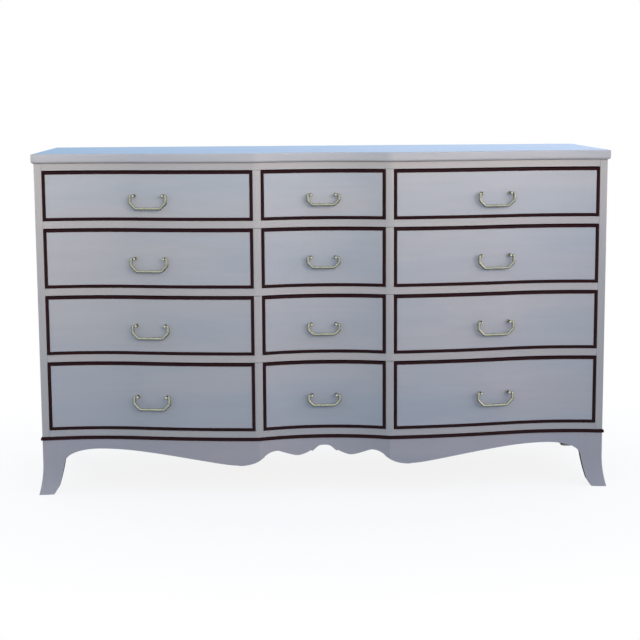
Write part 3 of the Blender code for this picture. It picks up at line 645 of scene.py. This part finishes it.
def dust_frame(low, high, name, trim):
    """Front rail, rear rail, runners and thin panels of one level."""
    rail_back = FRONT_Y + RAIL_DEPTH
    rear_front = FRAME_REAR - REAR_RAIL_DEPTH
    rail = curved_board(-FRAME_REACH, FRAME_REACH, 0, rail_back, low + trim, high)
    bare_behind(rail, PAINTED_DEPTH)
    rear_rail = board((-FRAME_REACH, rear_front, low), (FRAME_REACH, FRAME_REAR, high))
    runners, panels = [], []
    for x_low, x_high in COLUMNS.values():
        runners.append((max(x_low, -FRAME_REACH), x_low + RUNNER_WIDTH))
        runners.append((x_high - RUNNER_WIDTH, min(x_high, FRAME_REACH)))
        panels.append((x_low + RUNNER_WIDTH - TONGUE, x_high - RUNNER_WIDTH + TONGUE))
    runner_boards = [board((a, rail_back, low), (b, rear_front, high)) for a, b in merged_spans(runners)]
    middle, half = (low + high) / 2, DUST_PANEL_THICKNESS / 2
    front, back = rail_back - TONGUE, rear_front + TONGUE
    panel_boards = [board((a, front, middle - half), (b, back, middle + half)) for a, b in panels]
    return [
        piece(f"{name}_front_rail", rail, "case", (CASE_PAINT["x"], WOOD["x"])),
        piece(f"{name}_rear_rail", rear_rail, "case", WOOD["x"]),
        piece(f"{name}_runners", joined(runner_boards), "case", WOOD["y"]),
        piece(f"{name}_dust_panels", joined(panel_boards), "case", WOOD["x"]),
    ]


def merged_spans(spans):
    """Runners on both sides of an upright, as one board."""
    spans = sorted(spans)
    merged = [list(spans[0])]
    for first, last in spans[1:]:
        if first - merged[-1][1] < 3 * PARTITION_HALF:
            merged[-1][1] = last
        else:
            merged.append([first, last])
    return merged


def make_base_bead():
    reach = HALF + BASE_BEAD_STANDOUT
    inner = HALF - BASE_BEAD_INSET
    inside = face_line(-inner, inner, BASE_BEAD_INSET)[::-1]
    outline = [(-reach, BACK_Y), *face_line(-reach, reach, -BASE_BEAD_STANDOUT), (reach, BACK_Y),
               (inner, BACK_Y), *inside, (-inner, BACK_Y)]
    mesh = prism(outline, BEAD_LOW, BEAD_HIGH)
    mesh = rounded(mesh, outer_rim(reach, BASE_BEAD_STANDOUT), BASE_BEAD_ROUND, segments=5)
    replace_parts(piece("base_moulding", mesh, "case", DARK_BEAD["x"]), "base_bead")


# Base

def arch_end():
    """Lower edge of an apron where it springs from a foot, from the corner inward."""
    start = (FOOT_WIDTH, FOOT_ARCH_START)
    end = (FOOT_WIDTH + ARCH_LENGTH, ARCH_CREST)
    start_handle = (start[0] + ARCH_SPRING[0], start[1] + ARCH_SPRING[1])
    return bezier(start, start_handle, (end[0] - ARCH_CREST_REACH, end[1]), end, ARCH_POINTS)


def scallop():
    """Lower edge of the right half of the front apron, from the middle to the foot."""
    hump = bezier((0, HUMP_TOP), (HUMP_REACH, HUMP_TOP), HUMP_FOOT_HANDLE, HUMP_FOOT, count=14)
    lobe_handle = (FIRST_LOBE[0] - FIRST_LOBE_REACHES[0], FIRST_LOBE[1])
    lobe = bezier(NICK_TOP, NICK_HANDLE, lobe_handle, FIRST_LOBE, count=10)
    rise = level_curve(FIRST_LOBE, SMALL_CREST, FIRST_LOBE_REACHES[1], SMALL_CREST_REACHES[0], count=14)
    fall = level_curve(SMALL_CREST, GREAT_LOBE, SMALL_CREST_REACHES[1], GREAT_LOBE_REACHES[0], count=26)
    nicked = [(x, z - NICK_STEP if x > SECOND_NICK else z) for x, z in fall[:-1]] + [fall[-1]]
    arch = [(HALF - d, z) for d, z in arch_end()[::-1]]
    ogee = level_curve(GREAT_LOBE, arch[0], GREAT_LOBE_REACHES[1], FRONT_ARCH_REACH, count=30)
    return hump + lobe + rise[1:] + nicked[1:] + ogee[1:] + arch[1:]


def resampled(edge, breaks):
    """The lower edge with a point wherever the face curve needs one."""
    points = []
    for (x0, z0), (x1, z1) in zip(edge, edge[1:]):
        points.append((x0, z0))
        for x in sorted(b for b in breaks if x0 + SPACING < b < x1 - SPACING):
            points.append((x, z0 + (z1 - z0) * (x - x0) / (x1 - x0)))
    return [*points, edge[-1]]


def base_piece(name, mesh, axis, inner):
    """A piece of the base, painted outside along one axis, with bare wood or a near-black painted shade on
    its inner faces.
    """
    return piece(name, mesh, "case", (BASE_PAINT[axis], inner), sharp_angle=math.radians(30))


def make_apron():
    """The front apron: one upright section after another along its edge, bent to the face curve."""
    right = scallop()
    edge = [(-x, z) for x, z in right[:0:-1]] + right
    breaks = [x for x, _ in face_line(-HALF + FOOT_WIDTH, HALF - FOOT_WIDTH)]
    sections = []
    for x, z in resampled(edge, breaks):
        front, back = face_y(x), face_y(x) + APRON_THICKNESS
        sections.append([(x, front, z), (x, front, APRON_TOP), (x, back, APRON_TOP), (x, back, z)])
    mesh = loft(sections)
    painted_outside(mesh, 0)
    # Its inner faces take the near-black painted shade
    return base_piece("front_apron", mesh, "x", WOOD_PAINTED_SHADE)


def foot_inset(z):
    """How far a foot's inner edge lies from the corner of the case: a slanted toe, then a curve."""
    (d0, z0), (d1, z1), (d2, z2) = FOOT_HEEL, FOOT_KNEE, (FOOT_WIDTH, FOOT_ARCH_START)
    z = min(z, z2)
    if z < z0:
        return FOOT_BOTTOM_WIDTH + (d0 - FOOT_BOTTOM_WIDTH) * z / z0
    first = d0 * (z - z1) * (z - z2) / ((z0 - z1) * (z0 - z2))
    second = d1 * (z - z0) * (z - z2) / ((z1 - z0) * (z1 - z2))
    third = d2 * (z - z0) * (z - z1) / ((z2 - z0) * (z2 - z1))
    return first + second + third


def rear_bracket_inset(z):
    """The same for the board across the back of a rear foot, which is cut straight."""
    low = REAR_TOE_WIDTH - FLARE
    return low + (FOOT_WIDTH - low) * min(z / FOOT_ARCH_START, 1)


def flare(z):
    """How far a foot swings out beyond the case at height z: an arc that starts upright."""
    radius = (FLARE_HEIGHT ** 2 + FLARE ** 2) / (2 * FLARE)
    drop = max(FLARE_HEIGHT - z, 0)
    return radius - math.sqrt(radius ** 2 - drop ** 2)


def front_foot_ring(z):
    """Two mitred boards in plan, the front one bent to the face curve."""
    inset, swing = foot_inset(z), flare(z)
    inner, outer = HALF - inset, HALF + swing
    stations = [inner + inset * k / FOOT_STATIONS for k in range(FOOT_STATIONS)]
    edge = [(x, face_y(x) - swing) for x in stations]
    inside, back = edge[0][1] + FOOT_THICKNESS, FRONT_Y + inset
    step = outer - FOOT_THICKNESS
    return [*edge, (outer, FRONT_Y - swing), (outer, back), (step, back), (step, inside), (inner, inside)]


def rear_foot_ring(z):
    """Two mitred boards in plan, flush with the back."""
    front, inside = BACK_Y - foot_inset(z), BACK_Y - FOOT_THICKNESS
    inner, outer = HALF - rear_bracket_inset(z), HALF + flare(z)
    step = outer - FOOT_THICKNESS
    return [(inner, BACK_Y), (outer, BACK_Y), (outer, front), (step, front), (step, inside), (inner, inside)]


def foot(side, ring):
    """A splay foot through its plans at many heights."""
    toe = [FOOT_HEEL[1] * k / TOE_RINGS for k in range(TOE_RINGS)]
    rise = FOOT_ARCH_START - FOOT_HEEL[1]
    curve = [FOOT_HEEL[1] + rise * k / FOOT_RINGS for k in range(FOOT_RINGS + 1)]
    rings = [[(side * x, y, z) for x, y in ring(z)] for z in [*toe, *curve, APRON_TOP]]
    mesh = softened_corner(loft(rings), side)
    painted_outside(mesh, side)
    return mesh


def painted_outside(mesh, side):
    """Gives the second material to cut edges and to faces turned inward."""
    for face in mesh.polygons:
        seen = side * face.normal.x > OUTWARD or face.normal.y < -OUTWARD
        face.material_index = 0 if seen else 1


def softened_corner(mesh, side):
    """Rounds the outer front corner a little, which only a front foot has."""
    def corner(a, b):
        upright = abs(a.z - b.z) > SAME
        outer = all(abs(side * v.x - HALF - flare(v.z)) < SAME for v in (a, b))
        front = all(v.y < FRONT_Y - flare(v.z) + SAME for v in (a, b))
        return upright and outer and front
    return rounded(mesh, corner, FOOT_CORNER_ROUND, segments=2)


def side_apron(side):
    """The skirt below one end, arched between its two feet."""
    first = [(FRONT_Y + d, z) for d, z in arch_end()]
    last = [(BACK_Y - d, z) for d, z in arch_end()[::-1]]
    outline = [(first[0][0], APRON_TOP), *first, *last, (last[-1][0], APRON_TOP)]
    inner, outer = sorted((side * END_INNER, side * HALF))
    mesh = prism(outline, inner, outer, ALONG_X)
    painted_outside(mesh, side)
    return mesh


def make_base():
    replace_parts(make_apron(), "front_apron_and_feet")
    for side, name in SIDES:
        # A front foot's inner faces take the near-black painted shade; a rear foot's stay bare wood
        base_piece(f"{name}_front_foot", foot(side, front_foot_ring), "z", WOOD_PAINTED_SHADE)
        skirt = base_piece(f"{name}_side_apron", side_apron(side), "y", WOOD["y"])
        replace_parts(skirt, f"{name}_side_apron_and_foot")
        base_piece(f"{name}_rear_foot", foot(side, rear_foot_ring), "z", WOOD["z"])


# Drawers

class Drawer:
    """The limits of one drawer, read from its nodes."""

    def __init__(self, row, column):
        self.name = f"{row}_{column}"
        box_low, box_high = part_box(f"{self.name}_box")
        board_low, board_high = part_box(f"{self.name}_front")
        bead_low, bead_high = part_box(f"{self.name}_bead")
        self.x_low, self.x_high = COLUMNS[column][0] + FRONT_GAP, COLUMNS[column][1] - FRONT_GAP
        self.z_low, self.z_high = bead_low.z, bead_high.z
        self.board_low, self.board_high = board_low.z, board_high.z
        self.side_low, self.side_high = box_low.z, box_high.z
        self.back = box_high.y
        self.panel_low = self.side_low - RUNNING_GAP + BOTTOM_RAISE
        self.body = f"{self.name}_drawer"
        self.pull = "centre" if column == "centre" else "side"
        self.posts = PULLS[self.pull]["posts"]
        hinge = next(j for j in frame["joints"] if j["name"] == f"{self.name}_bail_hinge")
        self.hinge = Vector(hinge["pos_m"])
        self.turn = -Vector(hinge["axis"])

    def add(self, name, mesh, materials, **more):
        """A piece that rides on the drawer."""
        return piece(f"{self.name}_{name}", mesh, self.body, materials, **more)


def shoulder_y(x_inner, x_outer):
    """Where a drawer side stops behind the curved front."""
    return max(face_y(x_inner), face_y(x_outer)) + FRONT_THICKNESS + FIT_GAP


def tails(drawer, shoulder, spare):
    """The dovetails from the lowest up, each from its top to its bottom; spare widens them into sockets."""
    height = drawer.side_high - drawer.board_low
    count = max(2, round(height / TAIL_PITCH))
    tip = TAIL_SHARE * height / count + spare
    root = tip - TAIL_LENGTH * TAIL_TAPER
    end = shoulder - TAIL_LENGTH - spare
    middles = [drawer.board_low + (k + 0.5) * height / count for k in range(count)]
    return [[(shoulder, z + root), (end, z + tip), (end, z - tip), (shoulder, z - root)] for z in middles]


def side_limits(drawer, side):
    """Outer and inner x of the drawer side at the low or the high end."""
    outer = drawer.x_high if side > 0 else drawer.x_low
    return outer, outer - side * SIDE_THICKNESS


def drawer_side(drawer, side):
    """A side board with its dovetails cut on the front end."""
    outer, inner = side_limits(drawer, side)
    shoulder = shoulder_y(inner, outer)
    outline = [(drawer.back, drawer.side_low), (drawer.back, drawer.side_high), (shoulder, drawer.side_high)]
    for tail in reversed(tails(drawer, shoulder, 0)):
        outline += tail
    outline.append((shoulder, drawer.side_low))
    return prism(outline, min(inner, outer), max(inner, outer), ALONG_X)


def sockets(drawer):
    """Guides for the sockets in both ends of the front board."""
    solids = []
    for side in (-1, 1):
        outer, inner = side_limits(drawer, side)
        low, high = sorted((inner - side * FIT_GAP, outer + side * FRONT_GAP / 2))
        shoulder = shoulder_y(inner, outer)
        for tail in tails(drawer, shoulder, FIT_GAP):
            behind = shoulder + FRONT_GAP
            outline = [(behind, tail[0][1]), *tail, (behind, tail[-1][1])]
            solids.append(prism(outline, low, high, ALONG_X))
    return joined(solids)


def make_front(drawer):
    """The serpentine board: painted on its face, bare behind."""
    inset = BEAD_THICKNESS + FIT_GAP
    step = BEAD_RABBET + FIT_GAP
    left, right = drawer.x_low + inset, drawer.x_high - inset
    back = face_line(drawer.x_low, drawer.x_high, FRONT_THICKNESS)[::-1]
    right_step = [(right, face_y(right) + step), (drawer.x_high, face_y(right) + step)]
    left_step = [(drawer.x_low, face_y(left) + step), (left, face_y(left) + step)]
    outline = face_line(left, right) + right_step + back + left_step
    # The board's top stops lower by the width of the upper bead's painted shadow
    mesh = prism(outline, drawer.board_low, drawer.board_high - UPPER_BEAD_PAINTED_SHADOW)

    def face_rim(a, b):
        level, upright = abs(a.z - b.z) < SAME, abs(a.x - b.x) < SAME
        return all(on_face_line(v, 0) for v in (a, b)) and level != upright

    mesh = rounded(mesh, face_rim, FRONT_EDGE, segments=3)
    mesh = carved(mesh, sockets(drawer))
    bare_behind(mesh, PAINTED_DEPTH / 2)
    front = drawer.add("board", mesh, (DRAWER_PAINT, WOOD["x"]))
    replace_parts(front, f"{drawer.name}_front")


def make_bead(drawer):
    """Four strips of cock bead, mitred at the corners; the upper one is a little thicker, its extra width a
    painted shadow of the bead on the board.
    """
    lower_high = drawer.z_low + BEAD_THICKNESS
    upper_low = drawer.z_high - BEAD_THICKNESS - UPPER_BEAD_PAINTED_SHADOW
    for name, low, high in (("lower", drawer.z_low, lower_high), ("upper", upper_low, drawer.z_high)):
        mesh = level_bead(drawer.x_low, drawer.x_high, low, high, name == "upper")
        strip = drawer.add(f"{name}_bead", mesh, DARK_BEAD["x"])
        if name == "lower":
            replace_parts(strip, f"{drawer.name}_bead")
    for name, outer, inward in (("left", drawer.x_low, 1), ("right", drawer.x_high, -1)):
        mesh = upright_bead(outer, inward, drawer.z_low, drawer.z_high)
        drawer.add(f"{name}_bead", mesh, DARK_BEAD["z"])


def nose_section(thickness):
    """Points of the bead's nose: across from 0 to the bead's thickness, and how far each stands out."""
    half = thickness / 2
    fall = BEAD_SLOPE * BEAD_THICKNESS / 2
    angles = [math.pi * (k / NOSE_STEPS - 0.5) for k in range(NOSE_STEPS + 1)]
    return [(half + half * math.sin(t), BEAD_STANDOUT - fall * (1 - math.cos(t))) for t in angles]


def level_bead(x_low, x_high, z_low, z_high, upper):
    """A strip above or below the board, as deep as the board; its ends are cut at 45 degrees."""
    thickness = z_high - z_low
    span = face_line(x_low, x_high)
    sections = []
    for k, (x, y) in enumerate(span):
        section = []
        for across, out in nose_section(thickness):
            cut = thickness - across if upper else across
            shift = cut if k == 0 else -cut if k == len(span) - 1 else 0
            section.append((x + shift, face_y(x + shift) - out, z_low + across))
        sections.append([*section, (x, y + FRONT_THICKNESS, z_high), (x, y + FRONT_THICKNESS, z_low)])
    return loft(sections)


def upright_bead(outer, inward, z_low, z_high):
    """A strip let in at one end of the board; its ends are cut at 45 degrees."""
    rings = []
    for z, slope in ((z_low, 1), (z_high, -1)):
        ring = []
        for across, out in nose_section(BEAD_THICKNESS):
            x = outer + inward * across
            ring.append((x, face_y(x) - out, z + slope * across))
        for across in (BEAD_THICKNESS, 0):
            x = outer + inward * across
            ring.append((x, face_y(x) + BEAD_RABBET, z + slope * across))
        rings.append(ring)
    return loft(rings)


def make_box(drawer):
    """Two sides, a back and a bottom of bare wood."""
    sides = [drawer.add(f"{name}_side", drawer_side(drawer, side), WOOD["y"]) for side, name in SIDES]
    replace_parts(sides[0], f"{drawer.name}_box")
    x_low, x_high = drawer.x_low + SIDE_THICKNESS, drawer.x_high - SIDE_THICKNESS
    back_low = drawer.side_low + BOTTOM_RAISE / 2
    rear = board((x_low, drawer.back - DRAWER_BACK_THICKNESS, back_low),
                 (x_high, drawer.back - FIT_GAP, drawer.side_high - FIT_GAP))
    drawer.add("back", rear, WOOD["x"])
    bottom = curved_board(x_low, x_high, FRONT_THICKNESS + FIT_GAP, drawer.back - DRAWER_BACK_THICKNESS,
                          drawer.panel_low, drawer.panel_low + BOTTOM_THICKNESS)
    drawer.add("bottom", bottom, WOOD["x"])


# Pulls

def post_profile():
    """A ball on a waisted neck over a small seat."""
    angles = [math.pi / 2 - BALL_ARC * k / BALL_STEPS for k in range(BALL_STEPS + 1)]
    ball = [(BALL_RADIUS * math.cos(t), BAIL_STANDOFF + BALL_RADIUS * math.sin(t)) for t in angles]
    ball[0] = (0, ball[0][1])
    neck_low = SEAT_HEIGHT + NECK_FOOT
    waist = (BAIL_STANDOFF + neck_low) / 2 - WAIST_DROP
    neck = [(NECK_RADIUS, BAIL_STANDOFF - BALL_RADIUS), (NECK_RADIUS * NECK_WAIST, waist),
            (NECK_RADIUS, neck_low + NECK_FLARE_HEIGHT), (NECK_RADIUS + NECK_FLARE, neck_low)]
    seat = [(SEAT_RADIUS - SEAT_EDGE[0], SEAT_HEIGHT), (SEAT_RADIUS, SEAT_HEIGHT - SEAT_EDGE[1]),
            (SEAT_RADIUS, -SEAT_SINK), (0, -SEAT_SINK)]
    return ball + neck + seat


def post_mesh(side):
    """One post, with a blind socket on the side that holds the bail."""
    post = turned(post_profile(), sides=28)
    middle = side * (2 * BALL_RADIUS - SOCKET_DEPTH)
    across = Matrix.Translation((middle, 0, BAIL_STANDOFF)) @ Matrix.Rotation(math.pi / 2, 4, "Y")
    bm = bmesh.new()
    bmesh.ops.create_cone(bm, cap_ends=True, segments=20, radius1=SOCKET_RADIUS, radius2=SOCKET_RADIUS,
                          depth=2 * BALL_RADIUS, matrix=across)
    return carved(post, new_mesh(bm))


POSTS = {side: post_mesh(side) for side in (-1, 1)}


# The outline of a pan head, in shares of its radius and height
PAN_HEAD = ((0, 1), (0.55, 0.97), (0.85, 0.8), (1, 0.45), (1, 0), (0, 0))


def screw_mesh():
    """A pan head with a slot down to half its height."""
    radius, height = SCREW_HEAD_RADIUS, SCREW_HEAD_HEIGHT
    head = turned([(radius * across, height * up) for across, up in PAN_HEAD], sides=24)
    reach = 1.2 * radius
    slot = board((-reach, -SCREW_SLOT_HALF, height / 2), (reach, SCREW_SLOT_HALF, 1.5 * height))
    return carved(head, slot)


SCREW = screw_mesh()


# The head of an arm, in arm radii: outward from the ball, down from the hinge, and how thick it is
ELBOW = ((0.06, 0.0, 0.60), (0.16, 0.02, 0.82), (0.38, 0.10, 0.94), (0.62, 0.26, 0.98), (0.84, 0.48, 1.0),
         (1.0, 0.78, 1.0))


def bail_path(size):
    """Half of the bail from its pin to the bar: (x, z, radius)."""
    ball_face = size["posts"] / 2 + BALL_RADIUS
    shoulder = ball_face + FIT_GAP
    arm = shoulder + ARM_RADIUS
    pin_end = ball_face - SOCKET_DEPTH + FIT_GAP
    bar = -size["drop"]
    knee = bar + size["chamfer"]
    ankle = arm - size["chamfer"]
    path = [(pin_end, 0, PIN_RADIUS), (shoulder, 0, PIN_RADIUS)]
    path += [(shoulder + ARM_RADIUS * across, -ARM_RADIUS * down, ARM_RADIUS * thickness)
             for across, down, thickness in ELBOW]
    path += [(x, z, ARM_RADIUS) for x, z in bent((arm, path[-1][1]), (arm, knee), (ankle, bar))]
    path += [(x, z, BAR_RADIUS) for x, z in bent((arm, knee), (ankle, bar), (-ankle, bar))]
    return path


def bent(before, corner, after):
    """A corner of the wire, rounded."""
    corner, before, after = Vector(corner), Vector(before), Vector(after)
    first = corner + (before - corner).normalized() * BEND_RADIUS
    last = corner + (after - corner).normalized() * BEND_RADIUS
    return [tuple(first.lerp(corner, t).lerp(corner.lerp(last, t), t)) for t in (0, 0.25, 0.5, 0.75, 1)]


def bail_mesh(size):
    """The bail as a bent wire with its hinge along local X."""
    half = bail_path(size)
    points = half + [(-x, z, radius) for x, z, radius in half[::-1]]
    curve = bpy.data.curves.new("bail", "CURVE")
    curve.dimensions = "3D"
    curve.bevel_depth = BAR_RADIUS
    curve.bevel_resolution = 5
    curve.use_fill_caps = True
    spline = curve.splines.new("POLY")
    spline.points.add(len(points) - 1)
    for point, (x, z, radius) in zip(spline.points, points):
        point.co = (x, 0, z, 1)
        point.radius = radius / BAR_RADIUS
    return final_mesh(placed("wire", curve))


BAILS = {kind: bail_mesh(size) for kind, size in PULLS.items()}


def make_pull(drawer):
    """Two posts, the screws that hold them, and the bail."""
    across = drawer.turn.normalized()
    inward = Vector((0, 0, 1)).cross(across)
    turn = Matrix((across, inward, (0, 0, 1))).transposed().to_4x4()
    hinge = Matrix.Translation(drawer.hinge) @ turn
    outward, backward = (Matrix.Rotation(angle, 4, "X") for angle in (math.pi / 2, -math.pi / 2))
    screw_depth = BAIL_STANDOFF + FRONT_THICKNESS * across.x + FIT_GAP
    for side, name in SIDES:
        offset = side * drawer.posts / 2
        seat = hinge @ Matrix.Translation((offset, BAIL_STANDOFF, 0)) @ outward
        drawer.add(f"{name}_post", POSTS[side].copy(), POST_BRASS, matrix=seat)
        behind = drawer.hinge + across * offset + inward * screw_depth
        screw = Matrix.Translation(behind) @ turn @ backward
        drawer.add(f"{name}_screw", SCREW.copy(), SCREW_STEEL, matrix=screw)
    bail = piece(f"{drawer.name}_wire", BAILS[drawer.pull].copy(), f"{drawer.name}_handle", BAIL_BRASS,
                 sharp_angle=math.radians(50), matrix=hinge)
    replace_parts(bail, f"{drawer.name}_bail")


# Floor, light and camera

FLOOR_HALF = 12.0
FLOOR_LOW, FLOOR_HIGH = -0.02, -0.0002
FLOOR_NEAR, FLOOR_FAR = 0.55, 1.2
FLOOR_OVAL = (0.75, 1, 1)
FLOOR_WHITENESS = 0.85
FLOOR_GREY = 0.95
FLOOR_BOUNCE = 0.22
SKY_COLOUR = (0.60, 0.79, 1.0)
SKY_STRENGTH = 0.93
KEY_LAMP = {"place": (1.3, -2.9, 1.75), "target": (0.2, 0.3, 1.75), "size": (5.6, 1.4),
            "power": 41, "colour": (1.0, 0.86, 0.69)}
KEY_SPREAD = math.radians(70)
RIGHT_LAMP = {"place": (3.8, -2.0, 1.3), "target": (0.7, 0, 0.8), "size": (3.6, 2.4),
              "power": 37, "colour": (1.0, 0.74, 0.82)}
REAR_LAMP = {"place": (-2.6, 4.4, 0.8), "target": (0, 0.2, 0.45), "size": (3.0, 1.6),
             "power": 120, "colour": (1.0, 0.87, 0.72)}
PANEL_Y = 7.5
PANEL_HALF, PANEL_HEIGHT, PANEL_THICKNESS = 15.0, 13.0, 0.02
PANEL_LEFT, PANEL_RIGHT = (0.024, 0.188, 0.352), (0.588, 0.728, 0.992)
PANEL_FADE = (0.37, 0.63)
PANEL_STRENGTH = 2.5


def seen_rays(tree):
    """1 where a surface is seen, mirrored or seen through, and 0 where it only lights others."""
    path = tree.nodes.new("ShaderNodeLightPath")
    value = path.outputs["Is Camera Ray"]
    for kind in ("Is Glossy Ray", "Is Transmission Ray"):
        larger = tree.nodes.new("ShaderNodeMath")
        larger.operation = "MAXIMUM"
        tree.links.new(value, larger.inputs[0])
        tree.links.new(path.outputs[kind], larger.inputs[1])
        value = larger.outputs["Value"]
    return value


def make_floor():
    """A floor that keeps a soft shadow near the dresser and fades to plain white around it."""
    mesh = board((-FLOOR_HALF, -FLOOR_HALF, FLOOR_LOW), (FLOOR_HALF, FLOOR_HALF, FLOOR_HIGH))
    floor = placed("floor", mesh)
    finish = Finish("floor_white", roughness=0.9)
    finish.shader.inputs["Specular IOR Level"].default_value = 0.0
    seen = seen_rays(finish.tree)
    grey = [(0.0, (FLOOR_BOUNCE,) * 3), (1.0, (FLOOR_GREY,) * 3)]
    finish.link(finish.ramp(seen, grey), finish.shader.inputs["Base Color"])
    reach = finish.operation("ShaderNodeVectorMath", "LENGTH", finish.stretched(FLOOR_OVAL))
    whiteness = finish.spread(reach.outputs["Value"], FLOOR_WHITENESS, 1.0, FLOOR_NEAR, FLOOR_FAR)
    share = finish.operation("ShaderNodeMath", "MULTIPLY", whiteness)
    finish.link(seen, share.inputs[1])
    white = finish.node("ShaderNodeEmission", Color=(1, 1, 1, 1), Strength=1.0)
    mix = finish.tree.nodes.new("ShaderNodeMixShader")
    finish.link(share.outputs["Value"], mix.inputs["Fac"])
    finish.link(finish.shader.outputs["BSDF"], mix.inputs[1])
    finish.link(white.outputs["Emission"], mix.inputs[2])
    finish.link(mix.outputs["Shader"], finish.tree.nodes["Material Output"].inputs["Surface"])
    mesh.materials.append(finish.material)


def make_world():
    """White where it is seen or mirrored, and a soft pale sky for everything else."""
    world = bpy.data.worlds.new("sky")
    bpy.context.scene.world = world
    world.use_nodes = True
    tree = world.node_tree
    sky = tree.nodes["Background"]
    sky.inputs["Color"].default_value = (*SKY_COLOUR, 1)
    sky.inputs["Strength"].default_value = SKY_STRENGTH
    white = tree.nodes.new("ShaderNodeBackground")
    white.inputs["Color"].default_value = (1, 1, 1, 1)
    white.inputs["Strength"].default_value = 1.0
    mix = tree.nodes.new("ShaderNodeMixShader")
    tree.links.new(seen_rays(tree), mix.inputs["Fac"])
    tree.links.new(sky.outputs["Background"], mix.inputs[1])
    tree.links.new(white.outputs["Background"], mix.inputs[2])
    tree.links.new(mix.outputs["Shader"], tree.nodes["World Output"].inputs["Surface"])


def area_lamp(name, place, target, size, power, colour):
    """A rectangular lamp aimed at a point, which only its light shows."""
    data = bpy.data.lights.new(name, "AREA")
    data.shape = "RECTANGLE"
    data.size, data.size_y = size
    data.energy = power
    data.color = colour
    made = placed(name, data)
    made.location = place
    made.rotation_euler = (Vector(target) - Vector(place)).to_track_quat("-Z", "Y").to_euler()
    made.visible_camera = False
    return made


def make_lights():
    """A wide soft lamp that fades down the front, and fills for the other sides."""
    key = area_lamp("key", **KEY_LAMP)
    key.data.spread = KEY_SPREAD
    key.visible_glossy = False
    area_lamp("right_fill", **RIGHT_LAMP)
    rear = area_lamp("rear_fill", **REAR_LAMP)
    rear.visible_glossy = False


def make_sheen():
    """A blue panel far behind, which shows only as the sheen on the top."""
    mesh = board((-PANEL_HALF, PANEL_Y, 0), (PANEL_HALF, PANEL_Y + PANEL_THICKNESS, PANEL_HEIGHT))
    panel = placed("sheen_panel", mesh)
    finish = Finish("panel_blue", roughness=1.0)
    across = finish.node("ShaderNodeTexGradient")
    finish.link(finish.node("ShaderNodeTexCoord").outputs["Generated"], across.inputs["Vector"])
    fade = [(PANEL_FADE[0], PANEL_LEFT), (PANEL_FADE[1], PANEL_RIGHT)]
    glow = finish.node("ShaderNodeEmission", Strength=PANEL_STRENGTH)
    finish.link(finish.ramp(across.outputs["Fac"], fade), glow.inputs["Color"])
    finish.link(glow.outputs["Emission"], finish.tree.nodes["Material Output"].inputs["Surface"])
    mesh.materials.append(finish.material)
    panel.visible_camera = False
    panel.visible_diffuse = False
    panel.visible_shadow = False


# Camera, placed so that its picture matches the photograph's perspective
CAMERA_PLACE = (-0.16135, -4.3052, 1.06646)
CAMERA_YAW, CAMERA_PITCH, CAMERA_ROLL = 0.03722, 0.14599, -0.00634
LENS = 86.64
SENSOR = 36.0


def make_camera():
    data = bpy.data.cameras.new("camera")
    data.lens = LENS
    data.sensor_width = SENSOR
    made = placed("camera", data)
    forward = Vector((math.sin(CAMERA_YAW) * math.cos(CAMERA_PITCH),
                      math.cos(CAMERA_YAW) * math.cos(CAMERA_PITCH),
                      -math.sin(CAMERA_PITCH)))
    right = Vector((math.cos(CAMERA_YAW), -math.sin(CAMERA_YAW), 0))
    up = right.cross(forward)
    c, s = math.cos(CAMERA_ROLL), math.sin(CAMERA_ROLL)
    across, upward = c * right + s * up, c * up - s * right
    turn = Matrix((across, upward, -forward)).transposed().to_4x4()
    made.matrix_world = Matrix.Translation(CAMERA_PLACE) @ turn
    bpy.context.scene.camera = made
    bpy.context.scene.view_settings.view_transform = "Standard"


make_camera()
make_world()
make_lights()
make_floor()
make_sheen()
make_top()
make_ends()
make_back()
make_base_bead()
make_base()
for row_name in ROWS:
    make_tier(row_name)
for row_name in ROWS:
    for column_name in COLUMNS:
        current = Drawer(row_name, column_name)
        make_front(current)
        make_bead(current)
        make_box(current)
        make_pull(current)
